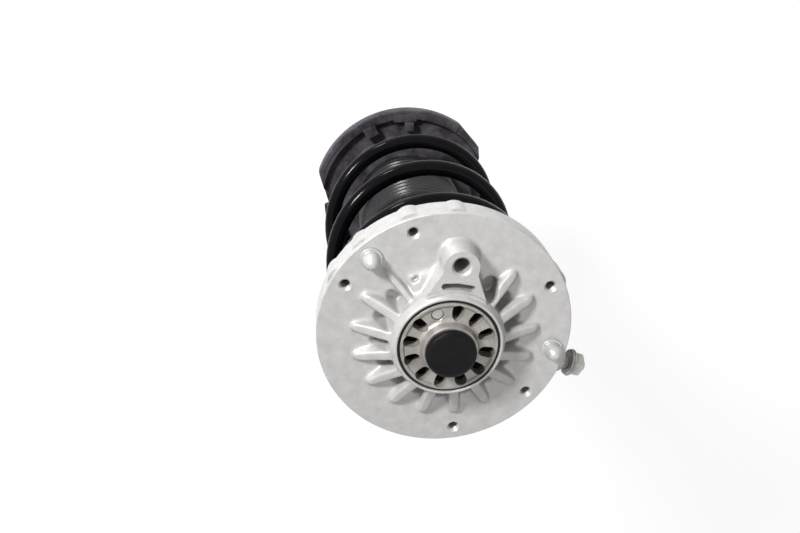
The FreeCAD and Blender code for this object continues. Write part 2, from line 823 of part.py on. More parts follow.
def hex_solid(name, flats, height, up):
    """A hexagon with turned corners."""
    corner = flats / (2 * math.cos(math.radians(HALF_TURN / 6)))
    prism = primitive("Part::Prism", name + "_prism", Circumradius=corner, Height=height)
    prism.Polygon = 6
    place(prism, up=up)
    bevel = flats * size("nut_corner_share")
    narrow, wide = flats / 2 + bevel, flats / 2 + height
    drum = primitive("Part::Cone", name + "_foot_cone", Radius1=narrow, Radius2=wide, Height=height)
    place(drum, up=up)
    lid = primitive("Part::Cone", name + "_head_cone", Radius1=wide, Radius2=narrow, Height=height)
    place(lid, up=up)
    common = doc.addObject("Part::MultiCommon", name + "_hexagon")
    common.Shapes = [prism, drum, lid]
    return common


def hex_nut(label, flats, height, bore, up, flange=None):
    """A hexagon nut round the strut's axis, with a flange on request."""
    solid = hex_solid(label, flats, height, up)
    if flange is not None:
        disc = primitive("Part::Cylinder", label + "_flange", Radius=flange[0], Height=flange[1])
        place(disc, up=up)
        solid = gather("Part::MultiFuse", label + "_solid", [solid, disc], keep=False)
    hole = primitive("Part::Cylinder", label + "_hole", Radius=bore, Height=height + CUT_MARGIN * 2)
    place(hole, up=up - CUT_MARGIN)
    return cut_from(label, solid, hole)


def lay_sideways(thing, reach):
    """Turns a piece that stands on the axis so that it lies on the side stud's line."""
    angle = size("side_angle")
    upright_to_x = FreeCAD.Rotation(FreeCAD.Vector(0, 1, 0), 90)
    swing = FreeCAD.Rotation(FreeCAD.Vector(0, 0, 1), angle.value)
    thing.Placement = FreeCAD.Placement(FreeCAD.Vector(), swing.multiply(upright_to_x))
    place(thing, reach * cosine(angle), reach * sine(angle), -size("side_depth"))


def build_side_fastening():
    """The stud on the rim, its washer and its flanged nut."""
    stud = primitive("Part::Cylinder", "side_stud", Radius=size("side_stud_radius"),
                     Height=size("side_stud_length"))
    stud.Label = "side_stud"
    lay_sideways(stud, side_stud_root)
    SUBPARTS.append(stud)
    hole_radius = size("side_stud_radius") + size("pin_press_gap")
    plate = primitive("Part::Cylinder", "side_washer_disc", Radius=size("side_washer_radius"),
                      Height=size("side_washer_thickness"))
    hole = primitive("Part::Cylinder", "side_washer_hole", Radius=hole_radius,
                     Height=size("side_washer_thickness") + CUT_MARGIN * 2)
    place(hole, up=-CUT_MARGIN)
    washer = cut_from("side_washer", plate, hole)
    lay_sideways(washer, side_boss_reach + size("side_washer_gap"))
    nut = hex_nut("side_nut", size("side_nut_flats"), size("side_nut_height"), hole_radius, ZERO,
                  (size("side_nut_flange_radius"), size("side_nut_flange_height")))
    lay_sideways(nut, side_nut_start)


def build_mount_core():
    """The slotted core that carries the rod, with a cup for the rod nut in its hub."""
    core = body("mount_core")
    top = size("dome_top_height")
    hub = size("core_hub_radius")
    chamfer = size("core_hub_chamfer")
    lip = size("core_radius") - size("core_lip_width")
    turn_profile(core, "blank", [
        (size("rod_neck_radius") + size("rod_neck_gap"), rod_seat),
        (hub, rod_seat),
        (hub, top - size("core_plate_thickness")),
        (size("core_radius"), top - size("core_plate_thickness")),
        (size("core_radius"), top - chamfer / 2),
        (size("core_radius") - chamfer / 2, top),
        (lip, top),
        (lip - size("core_dish"), top - size("core_dish")),
        (hub + size("core_dish") * 2, top - size("core_dish")),
        (hub, top + size("core_dish")),
        (hub, size("core_hub_height") - chamfer),
        (hub - chamfer, size("core_hub_height")),
        (size("core_cup_radius"), size("core_hub_height")),
        (size("core_cup_radius"), size("core_cup_floor")),
        (size("rod_neck_radius") + size("rod_neck_gap"), size("core_cup_floor")),
    ])
    start = level_sketch(core, "slot_outline", top + CUT_MARGIN)
    first = size("core_plug_angle") + dim(FULL_TURN) / size("core_slot_count")
    slot(start, first, size("core_slot_circle"), size("core_slot_length"), size("core_slot_width"))
    cut = cut_pocket(core, "slot_cut", start, size("core_plate_thickness") + CUT_MARGIN * 2)
    spread = dim(FULL_TURN) / size("core_slot_count") * (size("core_slot_count") - 2)
    repeat_round(core, "slot_ring", cut, size("core_slot_count") - 1, spread)
    plug = level_sketch(core, "plug_outline", top + CUT_MARGIN)
    ring(plug, size("core_plug_radius"), *spot(size("core_slot_circle"), size("core_plug_angle")))
    cut_pocket(core, "plug_recess", plug, size("core_dish") + size("core_plug_depth") + CUT_MARGIN)


def build_mount_rubber():
    """The rubber between the core's hub and the dome, with a thin lip round the core's edge."""
    rubber = body("mount_rubber")
    gap = size("rubber_gap")
    inner = size("core_hub_radius") + gap
    outer = size("dome_bore_radius") - gap
    lip = size("core_radius") + gap
    foot = dome_floor + size("dome_floor_thickness")
    top = size("rubber_wall_top")
    turn_profile(rubber, "ring", [
        (inner, foot),
        (outer, foot),
        (outer, size("dome_top_height") - size("rubber_lip_drop")),
        (lip, size("dome_top_height") - size("rubber_lip_drop")),
        (lip, top),
        (inner + (lip - inner) / 2, top - size("rubber_wall_dip")),
        (inner, top),
    ])


def build_rod_fastening():
    """Washer, nut and cap in the core's hub, and the stop washer under it."""
    washer = body("rod_washer")
    bore = size("rod_neck_radius") + size("rod_neck_gap")
    low = size("core_cup_floor")
    high = low + size("rod_washer_thickness")
    turn_profile(washer, "disc", [(bore, low), (size("rod_washer_radius"), low),
                                  (size("rod_washer_radius"), high), (bore, high)])
    hex_nut("rod_nut", size("rod_nut_flats"), size("rod_nut_height"), bore, high)
    stop = body("stop_washer")
    turn_profile(stop, "disc", [(bore, bump_top), (size("stop_washer_radius"), bump_top),
                                (size("stop_washer_radius"), rod_seat), (bore, rod_seat)])
    cap = body("rod_cap")
    top = size("cap_top")
    wall = size("cap_wall")
    edge = size("cap_edge")
    seat = size("core_hub_height")
    spigot = size("cap_spigot_radius")
    turn_profile(cap, "shell", [
        (ZERO, top),
        (size("cap_radius") - edge * 2, top),
        (size("cap_radius") - edge / 2, top - edge / 2),
        (size("cap_radius"), top - edge * 2),
        (size("cap_radius"), seat),
        (spigot, seat),
        (spigot, seat - size("cap_spigot_depth")),
        (spigot - wall, seat - size("cap_spigot_depth")),
        (spigot - wall, top - wall),
        (ZERO, top - wall),
    ])


def build_bearing():
    """Thrust bearing: upper race, balls in their cage, lower race."""
    circle = size("bearing_radius")
    groove = size("bearing_ball_radius") + size("bearing_ball_gap")
    upper = body("bearing_upper_race")
    face = bearing_top - size("bearing_upper_thickness")
    lip = size("bearing_lip")
    turn_profile(upper, "ring", [
        (size("bearing_upper_inner"), bearing_top),
        (size("bearing_upper_outer"), bearing_top),
        (size("bearing_upper_outer"), face - lip),
        (size("bearing_upper_outer") - lip, face - lip),
        (size("bearing_upper_outer") - lip, face),
        (size("bearing_upper_inner"), face),
    ])
    raceway(upper, circle, groove)
    lower = body("bearing_lower_race")
    face = bearing_foot + size("bearing_lower_thickness")
    turn_profile(lower, "ring", [
        (size("bearing_lower_inner"), bearing_foot),
        (size("bearing_lower_outer"), bearing_foot),
        (size("bearing_lower_outer"), face),
        (size("bearing_lower_inner"), face),
    ])
    raceway(lower, circle, groove)

    balls = []
    holes = []
    count = int(SIZES["bearing_ball_count"])
    for index in range(count):
        angle = dim(FULL_TURN * index) / size("bearing_ball_count")
        ball = primitive("Part::Sphere", f"ball_{index}", Radius=size("bearing_ball_radius"))
        place(ball, *spot(circle, angle), ball_height)
        balls.append(ball)
        hole = primitive("Part::Sphere", f"ball_pocket_{index}",
                         Radius=size("bearing_ball_radius") + size("bearing_pocket_gap"))
        place(hole, *spot(circle, angle), ball_height)
        holes.append(hole)
    gather("Part::Compound", "bearing_balls", balls)
    half = size("bearing_cage_half_width")
    low = ball_height - size("bearing_cage_thickness") / 2
    outside = primitive("Part::Cylinder", "cage_outside", Radius=circle + half,
                        Height=size("bearing_cage_thickness"))
    place(outside, up=low)
    inside = primitive("Part::Cylinder", "cage_inside", Radius=circle - half,
                       Height=size("bearing_cage_thickness") + CUT_MARGIN * 2)
    place(inside, up=low - CUT_MARGIN)
    band = cut_from("cage_band", outside, inside, keep=False)
    pockets = gather("Part::Compound", "cage_pockets", holes, keep=False)
    cut_from("bearing_cage", band, pockets)


def raceway(owner, circle, groove):
    """The round groove that the balls run in."""
    sketch = radial_sketch(owner, "raceway_profile", ZERO)
    ring(sketch, groove, circle, ball_height)
    feature = owner.newObject("PartDesign::Groove", "raceway")
    feature.Profile = sketch
    feature.ReferenceAxis = (sketch, ["V_Axis"])
    feature.Angle = FULL_TURN


def build_upper_seat():
    """The pressed seat under the bearing, and the rubber pad that the spring's top turn meets."""
    seat = body("upper_spring_seat")
    sheet_wall = size("seat_sheet")
    collar = size("seat_collar_radius")
    foot = seat_foot - size("seat_collar_depth")
    neck = size("boot_top_radius") - size("boot_wall") - size("boot_gap")
    turn_profile(seat, "pressing", [
        (size("seat_inner_radius"), bearing_foot),
        (size("seat_outer_radius"), bearing_foot),
        (size("seat_outer_radius"), seat_foot),
        (collar, seat_foot),
        (collar, foot),
        (collar - sheet_wall, foot),
        (collar - sheet_wall, seat_foot),
        (neck, seat_foot),
        (neck, seat_foot - size("boot_neck_length")),
        (size("seat_inner_radius"), seat_foot - size("boot_neck_length")),
    ])
    pad = body("upper_spring_pad")
    inner = collar + size("pad_gap")
    outer = inner + size("pad_neck_wall")
    neck_foot = upper_pad_face - size("pad_neck_depth")
    points = [
        (inner, seat_foot),
        (size("pad_lip_radius"), seat_foot),
        (size("pad_lip_radius"), upper_pad_face),
        (outer, upper_pad_face),
    ]
    step = size("pad_neck_depth") / (size("pad_rib_count") * 2)
    for index in range(int(SIZES["pad_rib_count"])):
        height = upper_pad_face - step * (2 * index + 1)
        points.append((outer, height))
        points.append((outer + size("pad_rib_height") / 2, height - step / 2))
        points.append((outer, height - step))
    points.append((inner, neck_foot))
    turn_profile(pad, "moulding", points)


def coil_height_drop(turns):
    """How far the coil has come down after a number of turns from its top end."""
    ramp = SIZES["coil_ramp_turns"]
    start = SIZES["coil_top_flat_turns"]
    active = SIZES["coil_height"] / SIZES["coil_pitch"]

    def risen(distance):
        if distance <= -ramp / 2:
            return 0.0
        if distance >= ramp / 2:
            return distance
        return (distance + ramp / 2) ** 2 / (2 * ramp)

    return SIZES["coil_pitch"] * (risen(turns - start) - risen(turns - start - active))


def coil_slope(turns):
    """The coil's drop per turn at that place."""
    ahead = coil_height_drop(turns + COIL_SLOPE_STEP)
    behind = coil_height_drop(turns - COIL_SLOPE_STEP)
    return (ahead - behind) / (2 * COIL_SLOPE_STEP)


def coil_frame(turns):
    """Point and direction of the coil's centre line after a number of turns from the top end."""
    radius = SIZES["coil_radius"]
    first = SIZES["coil_top_angle"] + FULL_TURN * SIZES["coil_top_flat_turns"]
    angle = math.radians(first - FULL_TURN * turns)
    height = coil_top.value - coil_height_drop(turns)
    point = FreeCAD.Vector(radius * math.cos(angle), radius * math.sin(angle), height)
    around = 2 * math.pi * radius
    tangent_line = FreeCAD.Vector(math.sin(angle) * around, -math.cos(angle) * around, -coil_slope(turns))
    return point, tangent_line.normalize()


def arc_between(start, direction, end):
    """The arc that leaves a point in a direction and ends at another point."""
    chord = end - start
    length = chord.Length
    along = chord / length
    side = direction - along * direction.dot(along)
    if side.Length < STRAIGHT_ENOUGH:
        return Part.LineSegment(start, end).toShape()
    half = direction.getAngle(chord)
    middle = (start + end) / 2 + side.normalize() * (length / 2 * math.tan(half / 2))
    return Part.Arc(start, middle, end).toShape()


def biarc(first, second):
    """Two arcs that join two points and keep both directions."""
    start, leaving = first
    end, arriving = second
    chord = end - start
    both = leaving + arriving
    twist = 2 * (1 - leaving.dot(arriving))
    linear = chord.dot(both)
    reach = (-2 * linear + math.sqrt(4 * linear ** 2 + 4 * twist * chord.dot(chord))) / (2 * twist)
    joint = (start + leaving * reach + end - arriving * reach) / 2
    return [arc_between(start, leaving, joint), arc_between(end, arriving * -1, joint)]


def build_coil_spring():
    """One unbroken wire: flat end turns and open turns between them."""
    wire = SIZES["wire_radius"]
    active = SIZES["coil_height"] / SIZES["coil_pitch"]
    total = SIZES["coil_top_flat_turns"] + active + SIZES["coil_foot_flat_turns"]
    pieces = max(4, round(total * 4))
    stations = [coil_frame(total * index / pieces) for index in range(pieces + 1)]
    start, heading = stations[0]
    tip = start - heading * SIZES["coil_end_length"]
    section = Part.Wire([Part.Circle(tip, heading, wire).toShape()])
    edges = [Part.LineSegment(tip, start).toShape()]
    for first, second in zip(stations, stations[1:]):
        edges.extend(biarc(first, second))
    end, heading = stations[-1]
    edges.append(Part.LineSegment(end, end + heading * SIZES["coil_end_length"]).toShape())
    path = Part.Wire(Part.__sortEdges__(edges))
    shell = Part.BRepOffsetAPI.MakePipeShell(path)
    shell.add(section)
    shell.build()
    shell.makeSolid()
    spring = doc.addObject("Part::Feature", "coil_spring")
    spring.Label = "coil_spring"
    spring.Shape = shell.shape()
    spring.Placement = FreeCAD.Placement()
    SUBPARTS.append(spring)
    measure_coil(total, path, spring.Shape)


def measure_coil(total, path, solid):
    """Prints the least clear space between neighbouring turns, and the volume's agreement."""
    per_turn = 72
    count = int(total * per_turn)
    points = [coil_frame(total * index / count)[0] for index in range(count + 1)]
    least = min((points[low] - points[high]).Length
                for low in range(len(points))
                for high in range(low + per_turn // 2, len(points)))
    gap = least - 2 * SIZES["wire_radius"]
    expected = path.Length * math.pi * SIZES["wire_radius"] ** 2
    print(f"coil_spring: least gap to itself {gap:.2f} mm, volume {solid.Volume / expected:.4f} of section x length")


def build_lower_pad():
    """The moulded pad in the lower seat: groove, outer band, inner collar, blocks and flats."""
    pad = body("lower_spring_pad")
    radius = dish_radius
    band_top = dish_face + size("dish_pad_band_height")
    collar = size("dish_pad_collar_outer")
    inner = size("dish_pad_collar_inner")
    edge = size("dish_pad_thickness") / 2
    turn_profile(pad, "moulding", [
        (inner, dish_sheet_top),
        (dish_seat_radius + size("pad_gap"), dish_sheet_top),
        (dish_seat_radius + size("pad_gap"), dish_sheet_top - size("dish_sheet")),
        (radius, dish_sheet_top - size("dish_sheet")),
        (radius, band_top - edge / 2),
        (radius - edge / 2, band_top),
        (dish_band_inner, band_top),
        (dish_band_inner - edge, dish_face),
        (collar + edge, dish_face),
        (collar, collar_top - edge),
        (collar - edge, collar_top),
        (inner, collar_top),
    ])
    blocks = level_sketch(pad, "block_outline", dish_face - edge)
    for name in ("dish_lug_angle_near", "dish_lug_angle_far"):
        angle = size(name)
        half = size("dish_lug_width") / 2
        near = radius - size("dish_lug_inset")
        far = near + size("dish_lug_length")
        outline(blocks, [beside(reach, side, angle)
                         for reach, side in ((near, -half), (far, -half), (far, half), (near, half))])
    raise_pad(pad, "blocks", blocks, size("dish_lug_height") + edge)
    depth = size("dish_pad_collar_height") + size("dish_pad_thickness") + size("dish_sheet")
    trim_flats(pad, size("dish_flat"), collar_top, depth)


def trim_flats(owner, distance, top, depth):
    """Cuts the two flats of the lower seat from a height downwards."""
    sketch = level_sketch(owner, "flat_outline", top + CUT_MARGIN)
    far = dish_radius * 2
    for name in ("dish_flat_angle_near", "dish_flat_angle_far"):
        angle = size(name)
        half = far / 2
        outline(sketch, [beside(reach, side, angle)
                         for reach, side in ((distance, -half), (far, -half), (far, half), (distance, half))])
    cut_pocket(owner, "flats", sketch, depth + CUT_MARGIN * 2)


def build_lower_seat():
    """The pressed dish on the damper tube that carries the pad and the spring."""
    seat = body("lower_spring_seat")
    wall = size("dish_sheet")
    hub = size("dish_hub_radius")
    bore = size("tube_radius") + size("dish_weld_gap")
    foot = dish_sheet_top - size("dish_hub_depth")
    turn_profile(seat, "pressing", [
        (bore, dish_sheet_top),
        (dish_seat_radius, dish_sheet_top),
        (dish_seat_radius, dish_sheet_top - wall),
        (hub + wall, dish_sheet_top - wall),
        (bore + wall, foot),
        (bore, foot),
    ])
    trim_flats(seat, size("dish_flat") - size("dish_flat_rim_width"), dish_sheet_top, wall)


def loft_rings(rings):
    """A solid through level circles, each given by its radius and height."""
    wires = []
    for radius, height in rings:
        axis = FreeCAD.Vector(0, 0, 1)
        wires.append(Part.Wire([Part.Circle(FreeCAD.Vector(0, 0, height), axis, radius).toShape()]))
    return Part.makeLoft(wires, True, True)


def build_dust_boot():
    """The ribbed boot round the rod: deep ribs above, shallow ones below, one thin wall."""
    top = seat_foot.value
    neck_foot = top - SIZES["boot_neck_length"]
    foot = collar_top.value + SIZES["boot_gap"]
    deep_foot = neck_foot - SIZES["boot_deep_length"]
    crest = SIZES["boot_crest_radius"]
    neck = SIZES["boot_top_radius"]
    wall = SIZES["boot_wall"]
    rings = [(neck, top), (neck, neck_foot)]
    valley_end = SIZES["boot_valley_share"]
    crest_start = SIZES["boot_crest_share"]

    def add_ribs(high, low, count, valley):
        step = (high - low) / count
        for index in range(count):
            start = high - step * index
            rings.append((valley, start - step * valley_end))
            rings.append((crest, start - step * crest_start))
            rings.append((crest, start - step * (1 - crest_start)))
            rings.append((valley, start - step * (1 - valley_end)))

    add_ribs(neck_foot, deep_foot, int(SIZES["boot_deep_ribs"]), SIZES["boot_valley_radius"])
    add_ribs(deep_foot, foot + SIZES["boot_neck_length"], int(SIZES["boot_shallow_ribs"]),
             SIZES["boot_shallow_radius"])
    rings.append((crest, foot + SIZES["boot_neck_length"] * SIZES["boot_foot_share"]))
    rings.append((crest, foot))
    outside = loft_rings(rings)
    inside = loft_rings([(radius - wall, height) for radius, height in rings])
    boot = doc.addObject("Part::Feature", "dust_boot")
    boot.Label = "dust_boot"
    boot.Shape = outside.cut(inside)
    boot.Placement = FreeCAD.Placement()
    SUBPARTS.append(boot)


def build_bump_stop():
    """The foam stop on the rod, waisted where it folds first."""
    stop = body("bump_stop")
    bore = size("bump_bore_radius")
    full = size("bump_radius")
    waist = size("bump_waist_radius")
    foot = bump_top - size("bump_length")
    half = size("bump_waist_half")
    upper = bump_top - size("bump_waist_upper")
    lower = bump_top - size("bump_waist_lower")
    turn_profile(stop, "foam", [
        (bore, bump_top),
        (full, bump_top),
        (full, upper + half),
        (waist, upper),
        (full, upper - half),
        (full, lower + half),
        (waist, lower),
        (full - size("bump_shoulder"), lower - half),
        (size("bump_tip_radius"), foot),
        (bore, foot),
    ])


def build_damper_inside():
    """Rod, rebound stop, piston with its band and nut, inner tube, base valve, guide and seal."""
    rod = body("piston_rod")
    radius = size("rod_radius")
    neck = size("rod_neck_radius")
    foot_radius = size("rod_foot_radius")
    chamfer = size("rod_chamfer")
    turn_profile(rod, "bar", [
        (ZERO, size("rod_neck_top")),
        (neck - chamfer, size("rod_neck_top")),
        (neck, size("rod_neck_top") - chamfer),
        (neck, bump_top),
        (radius - chamfer, bump_top),
        (radius, bump_top - chamfer),
        (radius, piston_top),
        (foot_radius, piston_top),
        (foot_radius, rod_end),
        (ZERO, rod_end),
    ])
    rebound = body("rebound_stop")
    bore = radius + size("rod_slide_gap")
    turn_profile(rebound, "sleeve", [(bore, rebound_top), (size("rebound_radius"), rebound_top),
                                     (size("rebound_radius"), rebound_foot), (bore, rebound_foot)])
    spacer = body("rebound_spacer")
    skin = bore + size("rebound_spacer_wall")
    turn_profile(spacer, "sleeve", [(bore, rebound_foot), (skin, rebound_foot), (skin, piston_top),
                                    (bore, piston_top)])
    piston = body("piston")
    outer = inner_bore - size("piston_gap")
    land = outer - size("piston_band_depth")
    middle = (piston_top + piston_foot) / 2
    half = size("piston_band_length") / 2
    hole = foot_radius + size("rod_slide_gap")
    turn_profile(piston, "turning", [
        (hole, piston_top),
        (outer, piston_top),
        (outer, middle + half),
        (land, middle + half),
        (land, middle - half),
        (outer, middle - half),
        (outer, piston_foot),
        (hole, piston_foot),
    ])
    band = body("piston_band")
    skin = inner_bore - size("rod_slide_gap")
    slack = size("rod_slide_gap")
    turn_profile(band, "sleeve", [(land + slack, middle + half - slack), (skin, middle + half - slack),
                                  (skin, middle - half + slack), (land + slack, middle - half + slack)])
    hex_nut("piston_nut", size("piston_nut_flats"), size("piston_nut_height"), hole, piston_nut_foot)

    inner = body("inner_tube")
    inner_top = guide_foot
    base_top = tube_foot + size("base_valve_length")
    inner_foot = tube_foot + size("base_valve_foot")
    turn_profile(inner, "sleeve", [(inner_bore, inner_top), (size("inner_radius"), inner_top),
                                   (size("inner_radius"), inner_foot), (inner_bore, inner_foot)])
    valve = body("base_valve")
    fit = inner_bore - size("tube_press_gap")
    turn_profile(valve, "turning", [
        (ZERO, base_top),
        (fit, base_top),
        (fit, inner_foot),
        (size("inner_radius"), inner_foot),
        (size("inner_radius"), tube_foot),
        (ZERO, tube_foot),
    ])
    guide = body("rod_guide")
    press = tube_bore - size("tube_press_gap")
    turn_profile(guide, "turning", [
        (bore, guide_top),
        (press, guide_top),
        (press, guide_foot),
        (fit, guide_foot),
        (fit, guide_foot - size("guide_spigot")),
        (bore, guide_foot - size("guide_spigot")),
    ])
    seal = body("rod_seal")
    turn_profile(seal, "ring", [
        (bore, tube_top),
        (press, tube_top),
        (press, guide_top),
        (bore, guide_top),
    ])


def build_damper_outside():
    """Tube, base, bump cap, brackets and the tab that places the clamp."""
    tube = body("damper_tube")
    radius = size("tube_radius")
    clamp = size("clamp_radius")
    clamp_top = tube_foot + size("clamp_length")
    turn_profile(tube, "sleeve", [(tube_bore, tube_top), (radius, tube_top), (radius, clamp_top),
                                  (clamp, clamp_top), (clamp, tube_foot), (tube_bore, tube_foot)])
    base = body("tube_base")
    low = tube_foot - size("tube_base_thickness")
    edge = size("tube_base_thickness") / 2
    rim = clamp - size("tube_base_inset")
    turn_profile(base, "disc", [(ZERO, tube_foot), (rim, tube_foot), (rim, low + edge),
                                (rim - edge, low), (ZERO, low)])
    cap = body("bump_cap")
    inner = radius + size("tube_press_gap")
    outer = inner + size("bump_cap_wall")
    hole = size("rod_radius") + size("bump_cap_hole_gap")
    skirt = tube_top - size("bump_cap_skirt")
    turn_profile(cap, "pressing", [
        (hole, bump_cap_top),
        (outer - size("bump_cap_edge"), bump_cap_top),
        (outer, bump_cap_top - size("bump_cap_edge")),
        (outer, skirt),
        (inner, skirt),
        (inner, tube_top),
        (hole, tube_top),
    ])
    build_bracket("link_bracket", "link")
    build_bracket("hose_bracket", "hose")
    tab = body("clamp_tab")
    start = radius + size("tube_press_gap")
    sketch = side_sketch(tab, "tab_outline", size("tab_angle"), size("tab_reach"))
    half = size("tab_width") / 2
    foot = clamp_top
    outline(sketch, [(-half, foot), (half, foot), (half, foot + size("tab_height")),
                     (-half, foot + size("tab_height"))])
    raise_pad(tab, "block", sketch, size("tab_reach") - start + size("tab_sunk"), reverse=True)
    bore_out(tab, start, foot, size("tab_height"))


def bore_out(owner, radius, height, length):
    """Clears the tube's own space out of a bracket."""
    sketch = level_sketch(owner, "tube_clearance", height - CUT_MARGIN)
    ring(sketch, radius)
    cut_pocket(owner, "tube_seat", sketch, length + CUT_MARGIN * 2, reverse=True)


def build_bracket(label, kind):
    """A plate that stands off the tube on two welded cheeks."""
    bracket = body(label)
    angle = size(kind + "_angle")
    foot = -size(kind + "_depth") - size(kind + "_height") / 2
    height = size(kind + "_height")
    gauge = size(kind + "_sheet")
    reach = size(kind + "_reach")
    half = size(kind + "_half_width")
    start = size("tube_radius") + size("tube_press_gap")
    sketch = level_sketch(bracket, "channel_outline", foot)
    root = size("tube_radius") - size("bracket_sunk")
    corners = [(root, -half), (reach, -half), (reach, half), (root, half),
               (root, half - gauge), (reach - gauge, half - gauge), (reach - gauge, gauge - half),
               (root, gauge - half)]
    outline(sketch, [beside(along, side, angle) for along, side in corners])
    raise_pad(bracket, "channel", sketch, height)
    bore_out(bracket, start, foot, height)
    hole = side_sketch(bracket, "hole_outline", angle, reach + CUT_MARGIN)
    ring(hole, size(kind + "_hole_radius"), ZERO, -size(kind + "_depth"))
    cut_pocket(bracket, "hole", hole, gauge + CUT_MARGIN * 2)


build_mount_housing()
build_locating_pins()
build_side_fastening()
build_mount_core()
build_mount_rubber()
build_rod_fastening()
build_bearing()
build_upper_seat()
build_lower_pad()
build_lower_seat()
build_bump_stop()
build_damper_inside()
build_damper_outside()
doc.recompute()
build_coil_spring()
build_dust_boot()
doc.recompute()

for thing in doc.Objects:
    if "Invalid" in thing.State or "Error" in thing.State:
        raise RuntimeError(f"{thing.Label} could not be built: {thing.State}")
for part in SUBPARTS:
    if part.Shape.isNull() or not part.Shape.isValid() or part.Shape.Volume <= 0:
        raise RuntimeError(f"{part.Label} has no sound solid")

os.makedirs("parts", exist_ok=True)
for part in SUBPARTS:
    part.Shape.exportStep(os.path.join("parts", part.Label + ".step"))
    print(f"{part.Label}: {len(part.Shape.Solids)} solid(s), {part.Shape.Volume / 1000:.2f} cm3")
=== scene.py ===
# %% [markdown]
# # A front suspension strut, dressed for looks
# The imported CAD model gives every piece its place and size. This lesson replaces the pieces that
# show with finer ones, in the same frame and in metres, and gives every piece a finish. The origin
# is the centre of the top mount's flat face, and the strut hangs down along -Z.

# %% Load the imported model
import json
import math

import bmesh
import bpy
from mathutils import Matrix, Vector


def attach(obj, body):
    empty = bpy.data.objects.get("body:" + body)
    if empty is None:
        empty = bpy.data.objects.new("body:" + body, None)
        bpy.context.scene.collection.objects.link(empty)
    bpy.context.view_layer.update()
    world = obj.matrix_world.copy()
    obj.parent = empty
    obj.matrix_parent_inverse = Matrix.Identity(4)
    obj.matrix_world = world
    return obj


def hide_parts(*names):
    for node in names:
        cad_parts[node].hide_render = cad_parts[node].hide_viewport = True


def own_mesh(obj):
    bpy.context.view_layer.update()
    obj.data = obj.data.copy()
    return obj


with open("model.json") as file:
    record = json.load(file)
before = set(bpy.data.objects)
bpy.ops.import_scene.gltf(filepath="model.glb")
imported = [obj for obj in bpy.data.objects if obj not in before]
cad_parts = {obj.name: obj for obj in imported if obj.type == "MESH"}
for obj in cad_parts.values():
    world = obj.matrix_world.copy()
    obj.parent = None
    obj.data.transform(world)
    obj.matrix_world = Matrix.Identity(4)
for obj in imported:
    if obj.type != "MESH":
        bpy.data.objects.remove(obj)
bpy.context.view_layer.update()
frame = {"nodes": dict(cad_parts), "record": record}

# %% [markdown]
# ## Camera
# The view looks down on the top mount, with the strut running away behind it. Its place and turn
# were fitted to the outlines of the plate, the screws and the coils, so they are written as they
# came out. The three rows are the camera's own right, up and backward directions.

# %% Camera
MM = 0.001
PHOTO_LENS = 36.584
SENSOR_WIDTH = 36.0
CAMERA_PLACE = Vector((0.13339, -0.25975, 0.49095))
CAMERA_RIGHT = Vector((-0.97488, -0.20215, 0.09356))
CAMERA_UP = Vector((0.14572, -0.89643, -0.41855))
CAMERA_BACK = Vector((0.16848, -0.39440, 0.90336))

scene = bpy.context.scene
scene.view_settings.view_transform = "Standard"
camera_data = bpy.data.cameras.new("camera")
camera_data.lens = PHOTO_LENS
camera_data.sensor_width = SENSOR_WIDTH
camera = bpy.data.objects.new("camera", camera_data)
scene.collection.objects.link(camera)
turn = Matrix((CAMERA_RIGHT, CAMERA_UP, CAMERA_BACK)).transposed()
camera.matrix_world = Matrix.Translation(CAMERA_PLACE) @ turn.to_4x4()
scene.camera = camera
print("camera at", tuple(round(v, 3) for v in CAMERA_PLACE))

# %% [markdown]
# ## Helpers for every piece
# A piece starts as a bmesh, becomes one object at the origin and then rides on a body. Working in
# millimetres keeps the numbers easy to read, so the mesh is scaled once, when it is finished.

# %% Make an object from a bmesh
SHARP_ANGLE = math.radians(35)


def finish_piece(name, bm, body, slot, replaced=(), sharp=SHARP_ANGLE):
    """Turns a bmesh in millimetres into a smooth-shaded piece that rides on a body."""
    bmesh.ops.scale(bm, vec=(MM, MM, MM), verts=bm.verts)
    mesh = bpy.data.meshes.new(name)
    bm.to_mesh(mesh)
    bm.free()
    mesh.shade_smooth()
    mesh.set_sharp_from_angle(angle=sharp)
    piece = bpy.data.objects.new(name, mesh)
    scene.collection.objects.link(piece)
    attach(piece, body)
    if replaced:
        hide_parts(*replaced)
    piece.data.materials.append(FINISHES[slot])
    print(f"{name}: {len(mesh.polygons)} faces")
    return piece


print("edges stay sharp above", round(math.degrees(SHARP_ANGLE)), "degrees")

# %% [markdown]
# ## Turned shapes
# Most of a strut is turned or spun round its axis. The outline is drawn as one face, its corners
# are rounded with a vertex bevel, and the face is thrown away so that only its edge is spun.

# %% Spin an outline round the axis
FULL_TURN = 2 * math.pi
ON_AXIS = 1e-6
MERGE_DISTANCE = 1e-4


def lathe(outline, soften=0.4, steps=128, segments=3):
    """A closed turned solid from (radius, height) corners in millimetres."""
    bm = bmesh.new()
    corners = [bm.verts.new((radius, 0, height)) for radius, height in outline]
    bm.faces.new(corners)
    off_axis = [v for v in corners if v.co.x > ON_AXIS]
    if soften:
        bmesh.ops.bevel(bm, geom=off_axis, offset=soften, segments=segments, profile=0.5,
                        affect="VERTICES", clamp_overlap=True, material=-1)
    bmesh.ops.delete(bm, geom=list(bm.faces), context="FACES_ONLY")
    on_axis = [e for e in bm.edges if all(v.co.x < ON_AXIS for v in e.verts)]
    bmesh.ops.delete(bm, geom=on_axis, context="EDGES")
    bmesh.ops.spin(bm, geom=bm.edges[:] + bm.verts[:], cent=(0, 0, 0), axis=(0, 0, 1),
                   angle=FULL_TURN, steps=steps, use_merge=True, use_duplicate=False)
    bmesh.ops.remove_doubles(bm, verts=bm.verts, dist=MERGE_DISTANCE)
    bmesh.ops.recalc_face_normals(bm, faces=bm.faces)
    return bm


